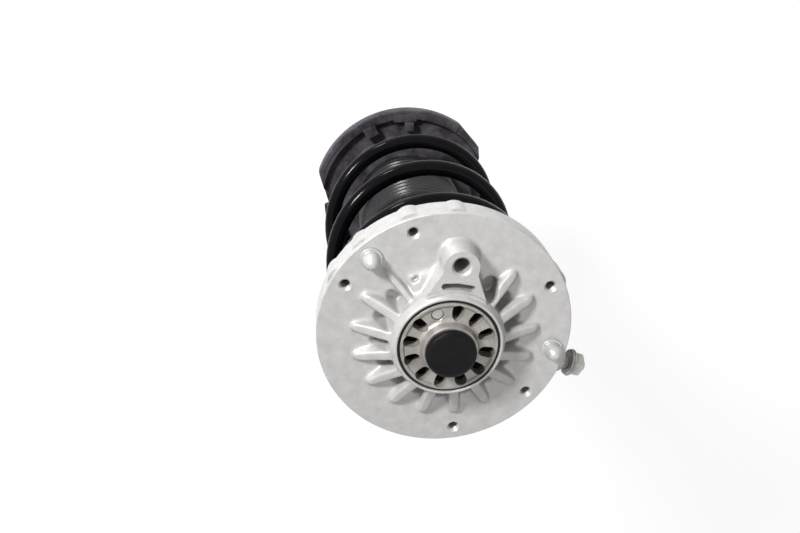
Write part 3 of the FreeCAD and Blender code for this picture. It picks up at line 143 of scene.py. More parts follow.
print("helper: lathe")

# %% [markdown]
# ## Joining and cutting
# Castings are made of simple shapes that are joined, and then drilled. Boolean modifiers do both,
# and the result is read back as a plain mesh so that later steps see clean geometry.

# %% Boolean helpers
READ_BACK_MERGE = 1e-5


def loose_object(bm):
    """A bmesh as an object for a modifier to use, not a piece of the strut."""
    mesh = bpy.data.meshes.new("tool")
    bm.to_mesh(mesh)
    bm.free()
    tool = bpy.data.objects.new("tool", mesh)
    scene.collection.objects.link(tool)
    return tool


def read_back(tool):
    """The object's mesh with its modifiers worked in, as a bmesh; the object goes."""
    bpy.context.view_layer.update()
    shaped = tool.evaluated_get(bpy.context.evaluated_depsgraph_get())
    bm = bmesh.new()
    bm.from_mesh(shaped.to_mesh())
    bmesh.ops.remove_doubles(bm, verts=bm.verts, dist=READ_BACK_MERGE)
    bpy.data.objects.remove(tool)
    return bm


def combine(base, other, operation):
    """Joins or cuts two solids that are given as bmeshes."""
    base_tool = loose_object(base)
    other_tool = loose_object(other)
    step = base_tool.modifiers.new("combine", "BOOLEAN")
    step.operation = operation
    step.solver = "EXACT"
    step.object = other_tool
    result = read_back(base_tool)
    bpy.data.objects.remove(other_tool)
    return result


def merge_shells(*shells):
    """Several separate shells as one bmesh."""
    whole = bmesh.new()
    for shell in shells:
        mesh = bpy.data.meshes.new("shell")
        shell.to_mesh(mesh)
        shell.free()
        whole.from_mesh(mesh)
        bpy.data.meshes.remove(mesh)
    return whole


def moved(bm, across=0.0, along=0.0, up=0.0):
    """Shifts a bmesh along x, y and z and hands it on."""
    bmesh.ops.translate(bm, vec=(across, along, up), verts=bm.verts)
    return bm


def turned(bm, degrees, axis=(0, 0, 1)):
    """Turns a bmesh round a line through the origin and hands it on."""
    turn = Matrix.Rotation(math.radians(degrees), 3, Vector(axis))
    bmesh.ops.rotate(bm, cent=(0, 0, 0), matrix=turn, verts=bm.verts)
    return bm


def on_circle(radius, degrees):
    """The place at a radius and an azimuth."""
    angle = math.radians(degrees)
    return radius * math.cos(angle), radius * math.sin(angle)


def through_outlines(outlines):
    """A closed solid through outlines of as many corners each."""
    bm = bmesh.new()
    loops = []
    for outline in outlines:
        corners = [bm.verts.new(place) for place in outline]
        loops.append([bm.edges.new((corners[i - 1], corners[i])) for i in range(len(corners))])
        if len(loops) in (1, len(outlines)):
            bm.faces.new(corners)
    for first, second in zip(loops, loops[1:]):
        bmesh.ops.bridge_loops(bm, edges=first + second)
    bmesh.ops.recalc_face_normals(bm, faces=bm.faces)
    return bm


def round_edges(bm, chosen, radius, segments=3):
    """Bevels the edges that a test picks."""
    edges = [e for e in bm.edges if chosen(*[v.co for v in e.verts])]
    bmesh.ops.bevel(bm, geom=edges, offset=radius, segments=segments, profile=0.5,
                    affect="EDGES", material=-1)
    return bm


print("helpers: combine, merge_shells, moved, turned, on_circle, through_outlines, round_edges")

# %% [markdown]
# ## Finishes
# Each finish starts from one shader whose plain values sit on its own sockets. Noise in object
# coordinates then varies the colour a little and gives the surface its grain, because no real
# surface is one flat colour.

# %% Shader helper
FINISHES = {}


def make_finish(slot, low, high, metallic, roughness, patch=30.0, grain=900.0, depth=0.05,
                rough_swing=0.06, shine=0.5):
    """A finish whose colour wanders between two tones, with a fine grain in its relief."""
    material = bpy.data.materials.new(slot)
    material.use_nodes = True
    nodes, links = material.node_tree.nodes, material.node_tree.links
    shader = nodes["Principled BSDF"]
    shader.inputs["Metallic"].default_value = metallic
    shader.inputs["Specular IOR Level"].default_value = shine
    place = nodes.new("ShaderNodeTexCoord")
    patches = nodes.new("ShaderNodeTexNoise")
    patches.inputs["Scale"].default_value = patch
    patches.inputs["Detail"].default_value = 5.0
    patches.inputs["Roughness"].default_value = 0.6
    links.new(place.outputs["Object"], patches.inputs["Vector"])
    tones = nodes.new("ShaderNodeValToRGB")
    tones.color_ramp.elements[0].position = 0.32
    tones.color_ramp.elements[0].color = (*low, 1)
    tones.color_ramp.elements[1].position = 0.68
    tones.color_ramp.elements[1].color = (*high, 1)
    links.new(patches.outputs["Fac"], tones.inputs["Fac"])
    links.new(tones.outputs["Color"], shader.inputs["Base Color"])
    span = nodes.new("ShaderNodeMapRange")
    span.inputs["To Min"].default_value = roughness - rough_swing
    span.inputs["To Max"].default_value = roughness + rough_swing
    links.new(patches.outputs["Fac"], span.inputs["Value"])
    links.new(span.outputs["Result"], shader.inputs["Roughness"])
    fine = nodes.new("ShaderNodeTexNoise")
    fine.inputs["Scale"].default_value = grain
    fine.inputs["Detail"].default_value = 3.0
    links.new(place.outputs["Object"], fine.inputs["Vector"])
    relief = nodes.new("ShaderNodeBump")
    relief.inputs["Strength"].default_value = 1.0
    relief.inputs["Distance"].default_value = depth * MM
    links.new(fine.outputs["Fac"], relief.inputs["Height"])
    links.new(relief.outputs["Normal"], shader.inputs["Normal"])
    FINISHES[slot] = material


print("helper: make_finish")

# %% All the strut's finishes
make_finish("cast_aluminium", (0.455, 0.448, 0.442), (0.55, 0.543, 0.535), 0.28, 0.42,
            patch=120, grain=850, depth=0.12, shine=0.4)
make_finish("core_metal", (0.25, 0.233, 0.216), (0.39, 0.365, 0.338), 0.35, 0.38,
            patch=90, grain=1300, depth=0.05)
make_finish("pin_steel", (0.44, 0.44, 0.44), (0.56, 0.56, 0.55), 0.35, 0.34,
            patch=70, grain=1500, depth=0.012)
make_finish("zinc_plate", (0.34, 0.335, 0.32), (0.50, 0.49, 0.47), 0.4, 0.34,
            patch=90, grain=1300, depth=0.02)
make_finish("mount_rubber", (0.006, 0.006, 0.006), (0.014, 0.014, 0.014), 0.0, 0.62,
            patch=60, grain=700, depth=0.02, shine=0.2)
make_finish("cap_plastic", (0.004, 0.004, 0.005), (0.008, 0.008, 0.009), 0.0, 0.40,
            patch=80, grain=1900, depth=0.025, shine=0.10)
make_finish("race_plastic", (0.03, 0.03, 0.033), (0.055, 0.055, 0.06), 0.0, 0.45,
            patch=70, grain=1200, depth=0.015)
make_finish("bearing_steel", (0.62, 0.62, 0.63), (0.72, 0.72, 0.72), 1.0, 0.12,
            patch=200, grain=2500, depth=0.002)
make_finish("foam", (0.50, 0.42, 0.24), (0.66, 0.58, 0.38), 0.0, 0.85,
            patch=60, grain=900, depth=0.12)
make_finish("rod_chrome", (0.72, 0.72, 0.73), (0.78, 0.78, 0.79), 1.0, 0.10,
            patch=40, grain=2400, depth=0.002, rough_swing=0.03)
make_finish("valve_steel", (0.34, 0.34, 0.34), (0.46, 0.46, 0.45), 1.0, 0.36,
            patch=60, grain=1500, depth=0.012)
make_finish("band_plastic", (0.07, 0.06, 0.045), (0.12, 0.105, 0.08), 0.0, 0.45,
            patch=70, grain=1400, depth=0.01)
make_finish("seal_rubber", (0.016, 0.016, 0.016), (0.03, 0.03, 0.03), 0.0, 0.55,
            patch=70, grain=900, depth=0.02)
make_finish("seat_black", (0.005, 0.005, 0.006), (0.010, 0.010, 0.012), 0.0, 0.34,
            patch=40, grain=500, depth=0.05, shine=0.15)
make_finish("pad_rubber", (0.014, 0.011, 0.016), (0.095, 0.086, 0.100), 0.0, 0.50,
            patch=55, grain=650, depth=0.10, shine=0.15)
make_finish("spring_black", (0.002, 0.002, 0.003), (0.004, 0.004, 0.005), 0.0, 0.14,
            patch=50, grain=420, depth=0.004, rough_swing=0.02, shine=0.08)
make_finish("boot_rubber", (0.005, 0.005, 0.006), (0.010, 0.010, 0.012), 0.0, 0.28,
            patch=45, grain=800, depth=0.02, shine=0.45)
make_finish("damper_black", (0.005, 0.005, 0.006), (0.011, 0.011, 0.013), 0.0, 0.32,
            patch=35, grain=450, depth=0.05, shine=0.2)
print("finishes:", len(FINISHES))

# %% [markdown]
# ## The top mount's casting
# The real one is die cast: a round plate with a rim below, a dome, ribs, a raised arm and bosses,
# all flowing into each other. The plate and the dome's ring are turned shapes. Ribs, arm and web
# are rough blocks that a voxel remesh fuses. Pockets are cut between the ribs, at the arm's flank
# and in the web, and smoothing then gives the cast fillets.

# %% Sizes of the casting
PLATE_RADIUS = 90.0
PLATE_THICKNESS = 9.0
RIM_FOOT = -22.0
DOME_RADIUS = 40.0
DOME_BORE = 35.4
DOME_TOP = 19.5
DOME_FLOOR = -14.5
CORE_SEAT = -10.5
CORE_OPENING = 25.0
RIB_COUNT = 14
RIB_PITCH = 21.18
RIB_FIRST = -39.3
ARM_HEIGHT = 15.0
ARM_ANGLE = -86.0
ARM_BORE_REACH = 58.4
SCREW_CIRCLE = 80.0
SCREW_ANGLES = (-61.8, -19.1, -143.8, 151.1, 107.4)
PIN_CIRCLE = 78.6
PIN_ANGLES = (-37.8, 180.0)
LUG_ANGLE = -83.0
SIDE_ANGLE = 170.5
SIDE_DEPTH = -13.5
CROWN_RADIUS = 73.0
RECESS_RADIUS = 69.5
CROWN_FOOT = -8.0
BLOCK_FOOT = -2.0
print("casting:", RIB_COUNT, "ribs,", len(SCREW_ANGLES), "screw holes,", len(PIN_ANGLES), "pins")

# %% Plate, rim and dome ring as one turned blank
def plate_blank():
    return lathe([
        (DOME_BORE, DOME_TOP), (37.2, DOME_TOP), (39.4, 14.8), (DOME_RADIUS, 13.4),
        (DOME_RADIUS, CROWN_FOOT), (RECESS_RADIUS, CROWN_FOOT), (RECESS_RADIUS, 0),
        (PLATE_RADIUS, 0), (PLATE_RADIUS, RIM_FOOT), (83.5, RIM_FOOT), (82.3, -PLATE_THICKNESS),
        (DOME_RADIUS, -PLATE_THICKNESS), (DOME_RADIUS, DOME_FLOOR), (CORE_OPENING, DOME_FLOOR),
        (CORE_OPENING, CORE_SEAT), (DOME_BORE, CORE_SEAT)], soften=0.8, steps=192)


def drum(radius, low, high, segments=48, flare=0.0):
    """A round bar, wider at its top by the flare."""
    bm = bmesh.new()
    bmesh.ops.create_cone(bm, cap_ends=True, segments=segments, radius1=radius,
                          radius2=radius + flare, depth=high - low)
    return moved(bm, up=(low + high) / 2)


print("helpers: plate_blank, drum")

# %% Ribs: one finger, repeated round the dome
# Each section: reach, half width at the foot, half width at the crest, height of the crest.
RIB_SECTIONS = ((36.5, 5.4, 3.6, 14.6), (44.0, 5.8, 3.5, 11.4), (51.0, 5.9, 3.3, 8.4),
                (57.0, 5.7, 3.1, 6.1), (61.5, 5.3, 2.8, 4.6), (64.6, 4.5, 2.2, 3.3),
                (66.2, 3.0, 1.2, 1.8))
SLIM_RIB = (0.6, 0.75)


def rib(width, height):
    """One rib as roof-shaped sections that end in a round tip, by shares of the full size."""
    return through_outlines([
        [(reach, -foot * width, BLOCK_FOOT), (reach, -crest * width, top * height),
         (reach, crest * width, top * height), (reach, foot * width, BLOCK_FOOT)]
        for reach, foot, crest, top in RIB_SECTIONS])


def ribs():
    """A slim first rib beside the web, and full ones round the rest of the dome."""
    full = turned(rib(1.0, 1.0), RIB_FIRST + RIB_PITCH)
    bmesh.ops.spin(full, geom=full.verts[:] + full.edges[:] + full.faces[:], cent=(0, 0, 0),
                   axis=(0, 0, 1), angle=math.radians(RIB_PITCH * (RIB_COUNT - 2)),
                   steps=RIB_COUNT - 2, use_merge=False, use_duplicate=True)
    return merge_shells(turned(rib(*SLIM_RIB), RIB_FIRST), full)


print("rib sections:", len(RIB_SECTIONS))

# %% Arm and web: wide feet that narrow upwards, as a mould's draft makes them
ARM_NOSE_REACH = 57.0
ARM_NOSE_LEAN = 18.8
ARM_NOSE_RADIUS = 12.2
ARM_HALF_WIDTH = 23.1
ARM_ROOT = 29.0
ARM_SKIRT = 1.6
ARM_SKIRT_FALL = 1.8
ARM_DRAFT = math.tan(math.radians(16.5))
ARM_ARC_STEPS = 40
ARM_LEVELS = (BLOCK_FOOT, 0.0, 0.8, 1.8, 3.2, 5.5, ARM_HEIGHT + 1.8)


def arm_outline(height):
    """The arm at a height: straight flanks from the dome to a round nose."""
    spread = (ARM_HEIGHT - height) * ARM_DRAFT
    skirt = ARM_SKIRT * math.exp(-max(height, 0.0) / ARM_SKIRT_FALL)
    nose = ARM_NOSE_RADIUS + spread * 0.25 + skirt
    half = ARM_HALF_WIDTH + spread * 0.4 + skirt
    reach = ARM_NOSE_REACH + spread * 0.5
    points = [(ARM_ROOT, half, height)]
    for step in range(ARM_ARC_STEPS + 1):
        lean = math.radians(ARM_NOSE_LEAN - (ARM_NOSE_LEAN * 2 + 180) * step / ARM_ARC_STEPS)
        points.append((reach - nose * math.sin(lean), nose * math.cos(lean), height))
    return points + [(ARM_ROOT, -half, height)]


def arm_block():
    return turned(through_outlines([arm_outline(height) for height in ARM_LEVELS]), ARM_ANGLE)


def web_block():
    foot = [(*on_circle(reach, angle), BLOCK_FOOT)
            for reach, angle in ((38, -80), (58.0, -75), (58.5, -47), (38, -40))]
    crest = [(*on_circle(38, -76), 7.2), (*on_circle(49.5, -71), 2.9),
             (*on_circle(50.5, -51), 2.5), (*on_circle(38, -45), 6.6)]
    return through_outlines([foot, crest])


print("arm levels:", len(ARM_LEVELS))

# %% Pockets between the ribs, at the arm's flank and in the web
# Each window level: outer reach, half width, height.
POCKET_TOP = 16.0
WINDOW_START = 41.0
WINDOW_LEVELS = ((46.5, 2.9, -6.8), (52.0, 3.6, -1.5), (55.5, 4.1, 1.5), (56.5, 4.3, POCKET_TOP))
FLANK_POCKET_PLACE = (46.4, -118.2)
WEB_POCKET_CORNERS = ((33.7, -38.4), (26.5, -45.6), (27.4, -37.1), (32.8, -34.4))


def slotted_bar(length, width, low, high, flare=0.0):
    """A bar with round ends, longer along x, for cutting slots; the flare opens its mouth."""
    bm = drum(width / 2, low, high, 32, flare)
    for v in bm.verts:
        v.co.x += math.copysign((length - width) / 2, v.co.x) if abs(v.co.x) > 1e-5 else 0
    return bm


def web_pocket():
    """A small pocket, wide at the arm and narrow at the first rib."""
    mid_x, mid_y = [sum(axis) / len(WEB_POCKET_CORNERS) for axis in zip(*WEB_POCKET_CORNERS)]

    def outline(share, height):
        return [(mid_x + (x - mid_x) * share, mid_y + (y - mid_y) * share, height)
                for x, y in WEB_POCKET_CORNERS]

    return through_outlines([outline(0.62, 0.2), outline(1.0, POCKET_TOP)])


def window_cutters():
    """All pockets. Those between the ribs are blunt at the dome and their floors climb outwards."""
    def outline(outer, half, height):
        ends = [on_circle(half, -90 + 30 * step) for step in range(7)]
        nose = [(outer - half + x, y, height) for x, y in ends]
        return [(WINDOW_START, -half, height)] + nose + [(WINDOW_START, half, height)]

    shells = []
    for index in range(RIB_COUNT - 1):
        pocket = through_outlines([outline(*level) for level in WINDOW_LEVELS])
        shells.append(turned(pocket, RIB_FIRST + RIB_PITCH * (index + 0.5)))
    flank_pocket = turned(slotted_bar(14.5, 8.6, -7.4, POCKET_TOP), -90)
    shells += [moved(flank_pocket, *on_circle(*FLANK_POCKET_PLACE)), web_pocket()]
    return merge_shells(*shells)


print("pockets:", RIB_COUNT - 1, "between the ribs, one at the arm, one in the web")

# %% Fuse the blocks and let their edges flow
CROWN_VOXEL = 0.75
CROWN_SMOOTHING = 6
FLAT_BAND = 0.03


def voxel_fused(bm):
    """Overlapping shells as one skin of small even faces."""
    tool = loose_object(bm)
    step = tool.modifiers.new("fuse", "REMESH")
    step.mode = "VOXEL"
    step.voxel_size = CROWN_VOXEL
    return read_back(tool)


def crown():
    """Dome foot, ribs, arm and web as one soft-edged casting, with its pockets."""
    blocks = merge_shells(drum(CROWN_RADIUS, CROWN_FOOT - 0.4, 0.0, 96),
                          drum(41.0, -2.5, 13.0, 96, flare=-1.2),
                          ribs(), arm_block(), web_block())
    bm = voxel_fused(combine(voxel_fused(blocks), window_cutters(), "DIFFERENCE"))
    for _ in range(CROWN_SMOOTHING):
        bmesh.ops.smooth_vert(bm, verts=bm.verts, factor=0.5, use_axis_x=True, use_axis_y=True,
                              use_axis_z=True)
    for v in bm.verts:
        if abs(v.co.z) < FLAT_BAND:
            v.co.z = 0.0
    return bm


print("crown voxels:", CROWN_VOXEL, "mm")

# %% Bosses under the plate and the one for the side stud
BOSS_RADIUS = 11.8
BOSS_TOP = -4.5
BOSS_PLACES = [(SCREW_CIRCLE, angle) for angle in SCREW_ANGLES]
BOSS_PLACES += [(PIN_CIRCLE + 1, angle) for angle in (*PIN_ANGLES, LUG_ANGLE)]
SIDE_BOSS_START = 84.5
SIDE_BOSS_END = 95.0


def plate_bosses():
    shells = []
    for circle, angle in BOSS_PLACES:
        boss = round_edges(drum(BOSS_RADIUS, RIM_FOOT, BOSS_TOP),
                           lambda a, b: a.z + b.z < 2 * RIM_FOOT + 1, 0.8)
        shells.append(moved(boss, *on_circle(circle, angle)))
    return merge_shells(*shells)


def lying(bm):
    """Lays a piece that stands on the axis along the side stud's line."""
    turned(bm, 90, (0, 1, 0))
    turned(bm, SIDE_ANGLE)
    return moved(bm, up=SIDE_DEPTH)


def side_boss():
    return lying(round_edges(drum(9.0, SIDE_BOSS_START, SIDE_BOSS_END),
                             lambda a, b: a.z + b.z > 2 * SIDE_BOSS_END - 1, 0.8))


print("bosses under the plate:", len(BOSS_PLACES))

# %% Everything that is machined out of the casting
THREAD_PITCH = 1.25
THREAD_DEPTH = 0.5
ARM_SLOT_REACH = 43.9
DRILL_DEPTH = 30.0
SCREW_RADIUS = 3.4
SCREW_CHAMFER = 1.25
PIN_SEAT_RADIUS = 7.75
STUD_BORE = 5.05


def arm_slot_cutter():
    """A slot that follows the dome's ring, under the arm's hole."""
    bm = slotted_bar(23.0, 5.0, 6.0, 20.0)
    bmesh.ops.subdivide_edges(bm, edges=[e for e in bm.edges if e.calc_length() > 12], cuts=8)
    for v in bm.verts:
        angle = v.co.x / ARM_SLOT_REACH
        radius = ARM_SLOT_REACH + v.co.y
        v.co.x, v.co.y = radius * math.cos(angle), radius * math.sin(angle)
    bmesh.ops.recalc_face_normals(bm, faces=bm.faces)
    return turned(bm, ARM_ANGLE)


def hole_cutter(radius, mouth, depth, chamfer):
    """A drill with a countersink that meets a face at the mouth's height."""
    return lathe([(0, mouth - depth), (radius, mouth - depth), (radius, mouth - chamfer),
                  (radius + chamfer * 2, mouth + chamfer), (0, mouth + chamfer)],
                 soften=0, steps=48)


def thread_cutter(radius, depth, chamfer):
    """A tapped hole in the plate: a drill with thread grooves and a countersink."""
    outline = [(0, -depth), (radius, -depth)]
    height = -chamfer - THREAD_PITCH * 10
    while height < -chamfer - THREAD_PITCH / 2:
        outline += [(radius, height), (radius + THREAD_DEPTH, height + THREAD_PITCH / 2)]
        height += THREAD_PITCH
    outline += [(radius, -chamfer), (radius + chamfer * 2, chamfer), (0, chamfer)]
    return lathe(outline, soften=0, steps=48)


def casting_cutters():
    shells = [
        drum(DOME_BORE, CORE_SEAT, 30.0, 192),
        moved(hole_cutter(5.6, ARM_HEIGHT, DRILL_DEPTH, 1.4),
              *on_circle(ARM_BORE_REACH, ARM_ANGLE)),
        arm_slot_cutter(),
        lying(drum(STUD_BORE, 87.0, 96.0)),
    ]
    for angle in SCREW_ANGLES:
        screw_hole = thread_cutter(SCREW_RADIUS, DRILL_DEPTH, SCREW_CHAMFER)
        shells.append(moved(screw_hole, *on_circle(SCREW_CIRCLE, angle)))
    for angle in PIN_ANGLES:
        shells.append(moved(drum(PIN_SEAT_RADIUS, -1.0, 1.0), *on_circle(PIN_CIRCLE, angle)))
    return merge_shells(*shells)


print("screw thread's pitch:", THREAD_PITCH, "mm")

# %% The whole casting
def machined_face():
    """The ring that mills the arm's face flat, clear of the dome's own ring."""
    inner = DOME_RADIUS + 0.2
    return lathe([(inner, ARM_HEIGHT), (80, ARM_HEIGHT), (80, 30), (inner, 30)], soften=0, steps=96)


blank = combine(plate_blank(), plate_bosses(), "UNION")
blank = combine(blank, side_boss(), "UNION")
top_shape = combine(crown(), machined_face(), "DIFFERENCE")
blank = combine(blank, top_shape, "UNION")
casting = combine(blank, casting_cutters(), "DIFFERENCE")
mount_casting = finish_piece("mount_casting", casting, "mount", "cast_aluminium", ["mount_housing"])
even = mount_casting.modifiers.new("even_shading", "WEIGHTED_NORMAL")
even.keep_sharp = True
print("casting's soft shading follows its largest faces")

# %% [markdown]
# ## Core, rubber and cap in the dome
# The core is a turned disc with a hub. Its slots are cut with bars whose mouths flare a little,
# which gives each slot its small bright edge. One place has a plugged round recess instead.

# %% Core
CORE_TOP = 19.5
HUB_TOP = 25.8
SLOT_CIRCLE = 26.4
PLUG_ANGLE = -60.0
PLACE_COUNT = 12
SLOT_LENGTH = 10.4
SLOT_WIDTH = 6.8
SLOT_FLARE = 0.7
SLOT_TAPER = 0.03


def core_blank():
    return lathe([
        (7.1, -12), (20.4, -12), (20.4, 11.5), (33.6, 11.5), (33.6, CORE_TOP), (31.4, CORE_TOP),
        (30.6, CORE_TOP - 1.0), (22.0, CORE_TOP - 1.0), (20.0, CORE_TOP + 0.6), (18.7, HUB_TOP),
        (16.6, HUB_TOP), (16.0, HUB_TOP - 1.2), (15.0, HUB_TOP - 1.2), (15.0, 12.5), (7.1, 12.5)],
        soften=0.45, steps=144)


def core_slots():
    shells = []
    for index in range(1, PLACE_COUNT):
        slot = slotted_bar(SLOT_LENGTH, SLOT_WIDTH, 9.0, 20.5, flare=SLOT_FLARE)
        for v in slot.verts:
            v.co.y *= 1.0 + SLOT_TAPER * v.co.x
        moved(slot, across=SLOT_CIRCLE)
        shells.append(turned(slot, PLUG_ANGLE + 360.0 / PLACE_COUNT * index))
    plug = hole_cutter(4.2, CORE_TOP - 1.0, 1.6, 0.35)
    shells.append(moved(plug, *on_circle(SLOT_CIRCLE, PLUG_ANGLE)))
    return merge_shells(*shells)


core = combine(core_blank(), core_slots(), "DIFFERENCE")
finish_piece("core", core, "mount", "core_metal", ["mount_core"])
filling = lathe([(0, 16.9), (4.1, 16.9), (4.1, 17.5), (3.2, 18.2), (1.5, 17.9), (0, 18.1)],
                soften=0.3, steps=48)
moved(filling, *on_circle(SLOT_CIRCLE, PLUG_ANGLE))
finish_piece("slot_filling", filling, "mount", "zinc_plate")

# %% Rubber ring and cap
rubber = lathe([(20.5, CORE_SEAT), (35.3, CORE_SEAT), (35.3, 18.4), (33.7, 18.4), (33.7, 9.5),
                (27, 4.5), (20.5, 9.5)], soften=0.3)
finish_piece("core_rubber", rubber, "mount", "mount_rubber", ["mount_rubber"])
cap = lathe([(0, 32.0), (9, 31.95), (14.6, 31.7), (16.9, 30.6), (17.4, 29.0), (17.4, 25.9),
             (14.9, 25.9), (14.9, 22.8), (13.3, 22.8), (13.3, 30.2), (0, 30.2)],
            soften=0.5, steps=96)
finish_piece("hub_cap", cap, "mount", "cap_plastic", ["rod_cap"])

# %% [markdown]
# ## Pins, stud and nut
# The pins are turned with a bullet nose. The stud's thread is one small V that is spun along a
# helix, so it catches the light as a real thread does.

# %% Locating pins
def locating_pin():
    return lathe([(0, -12), (6.0, -12), (6.0, -1.0), (7.7, -1.0), (7.7, 1.6), (7.2, 2.0),
                  (6.2, 2.0), (6.0, 2.6), (6.0, 6.4), (5.3, 9.0), (4.0, 11.3), (2.4, 12.9),
                  (0.9, 13.5), (0, 13.5)], soften=0.3, steps=64)


pins = merge_shells(*[moved(locating_pin(), *on_circle(PIN_CIRCLE, angle)) for angle in PIN_ANGLES])
finish_piece("pins", pins, "mount", "pin_steel", ["locating_pins"])

# %% Threaded stud
STUD_SHARP = math.radians(25)
THREAD_STEPS = 32
THREAD_MERGE = 1e-3


def thread(radius, pitch, low, high):
    """A bar with a helical V thread between two heights."""
    bm = bmesh.new()
    half = pitch / 2
    depth = pitch * 0.55
    profile = [bm.verts.new((radius - depth, 0, low)), bm.verts.new((radius, 0, low + half)),
               bm.verts.new((radius - depth, 0, low + pitch))]
    edges = [bm.edges.new(pair) for pair in zip(profile, profile[1:])]
    turns = (high - low) / pitch - 1
    steps = int(THREAD_STEPS * turns)
    bmesh.ops.spin(bm, geom=profile + edges, cent=(0, 0, 0), axis=(0, 0, 1),
                   angle=FULL_TURN * turns, steps=steps, dvec=(0, 0, pitch * turns / steps),
                   use_merge=False, use_duplicate=False)
    bmesh.ops.remove_doubles(bm, verts=bm.verts, dist=THREAD_MERGE)
    bmesh.ops.recalc_face_normals(bm, faces=bm.faces)
    return bm


def stud_core():
    return lathe([(0, 87), (4.4, 87), (4.4, 113.2), (3.6, 114.0), (0, 114.0)], soften=0.2, steps=48)


stud = merge_shells(thread(4.95, 1.5, 94.0, 113.4), stud_core())
finish_piece("side_thread", lying(stud), "mount", "zinc_plate", ["side_stud"], STUD_SHARP)

# %% Nut and washer
NUT_FOOT = 102.5
NUT_TOP = 110.9
WASHER_FOOT = 100.9


def nut(flats, low, high, bore, flange):
    """A drilled hexagon whose corners are turned off, on a round flange."""
    corner = flats / math.sqrt(3)
    barrel = lathe([(0, low), (corner - 0.3, low), (corner + 0.2, low + 0.5),
                    (corner + 0.2, high - 1.2), (flats / 2 - 0.2, high), (0, high)],
                   soften=0, steps=96)
    body = combine(drum(corner, low, high, 6), barrel, "INTERSECT")
    skirt = lathe([(0, low), (flange, low), (flange, low + 1.0), (flats / 2, low + 2.6),
                   (0, low + 2.6)], soften=0.3, steps=96)
    body = combine(body, skirt, "UNION")
    drill = lathe([(0, low - 1), (bore, low - 1), (bore, high - 0.9), (bore + 1.2, high + 0.3),
                   (0, high + 0.3)], soften=0, steps=64)
    return combine(body, drill, "DIFFERENCE")


side_nut = lying(nut(16.0, NUT_FOOT, NUT_TOP, STUD_BORE, 10.2))
finish_piece("flange_nut", side_nut, "mount", "zinc_plate", ["side_nut"])
washer = lathe([(STUD_BORE, WASHER_FOOT), (9.6, WASHER_FOOT), (9.6, NUT_FOOT),
                (STUD_BORE, NUT_FOOT)], soften=0.3, steps=64)
finish_piece("stud_washer", lying(washer), "mount", "zinc_plate", ["side_washer"])

# %% [markdown]
# ## Coil spring
# One wire, flat at both ends and rising between them. A curve carries the round section along the
# helix, and the curve is then made a mesh.

# %% Spring
COIL_RADIUS = 75.1
WIRE_RADIUS = 6.5
COIL_PITCH = 78.1
COIL_HEIGHT = 230.0
COIL_TOP = -36.5
COIL_TOP_ANGLE = 45.0
TOP_FLAT_TURNS = 0.65
FOOT_FLAT_TURNS = 0.12
RAMP_TURNS = 0.25
WIRE_TIP = 13.0
TIP_TURNS = WIRE_TIP / (FULL_TURN * COIL_RADIUS)
POINTS_PER_TURN = 72


def coil_drop(turns):
    """How far the wire has come down after some turns from its top end."""
    def run(distance):
        if abs(distance) >= RAMP_TURNS / 2:
            return max(distance, 0.0)
        return (distance + RAMP_TURNS / 2) ** 2 / (2 * RAMP_TURNS)
    open_turns = COIL_HEIGHT / COIL_PITCH
    return COIL_PITCH * (run(turns - TOP_FLAT_TURNS) - run(turns - TOP_FLAT_TURNS - open_turns))


def curve_tube(name, points, radius, resolution=8):
    """A round tube along points, read back as a bmesh in the points' own units."""
    curve = bpy.data.curves.new(name, "CURVE")
    curve.dimensions = "3D"
    curve.bevel_depth = radius
    curve.bevel_resolution = resolution
    curve.use_fill_caps = True
    line = curve.splines.new("POLY")
    line.points.add(len(points) - 1)
    for point, place in zip(line.points, points):
        point.co = (*place, 1)
    line.use_smooth = True
    tool = bpy.data.objects.new(name, curve)
    scene.collection.objects.link(tool)
    bpy.context.view_layer.update()
    shaped = tool.evaluated_get(bpy.context.evaluated_depsgraph_get())
    bm = bmesh.new()
    bm.from_mesh(bpy.data.meshes.new_from_object(shaped))
    bpy.data.objects.remove(tool)
    bmesh.ops.remove_doubles(bm, verts=bm.verts, dist=MERGE_DISTANCE)
    bmesh.ops.recalc_face_normals(bm, faces=bm.faces)
    return bm


def coil_points():
    total = TOP_FLAT_TURNS + COIL_HEIGHT / COIL_PITCH + FOOT_FLAT_TURNS + 2 * TIP_TURNS
    first = COIL_TOP_ANGLE + 360.0 * TOP_FLAT_TURNS
    count = int(total * POINTS_PER_TURN)
    points = []
    for index in range(count + 1):
        turns = total * index / count - TIP_TURNS
        x, y = on_circle(COIL_RADIUS, first - 360.0 * turns)
        points.append((x, y, COIL_TOP - coil_drop(turns)))
    return points


wire = curve_tube("wire", coil_points(), WIRE_RADIUS)
spring = finish_piece("spring_wire", wire, "spring_carrier", "spring_black", ["coil_spring"])
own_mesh(spring)

# %% [markdown]
# ## Dust boot and bump stop
# The boot is a thin ribbed bellows. One fold is drawn, repeated down the wall and spun, with both
# walls in one outline so that the rubber has its real thickness.

# %% Boot
SEAT_FOOT = -25.9
BOOT_FOOT = -260.3
BOOT_CREST = 49.5
BOOT_NECK = 46.0
BOOT_WALL = 1.2
BOOT_SHARP = math.radians(60)


def boot_folds(high, low, count, valley, wall):
    """The corners of folds between two heights, from above, moved in by the wall."""
    step = (high - low) / count
    corners = []
    for index in range(count):
        start = high - step * index
        corners += [(valley - wall, start - step * 0.12), (BOOT_CREST - wall, start - step * 0.40),
                    (BOOT_CREST - wall, start - step * 0.60), (valley - wall, start - step * 0.88)]
    return corners


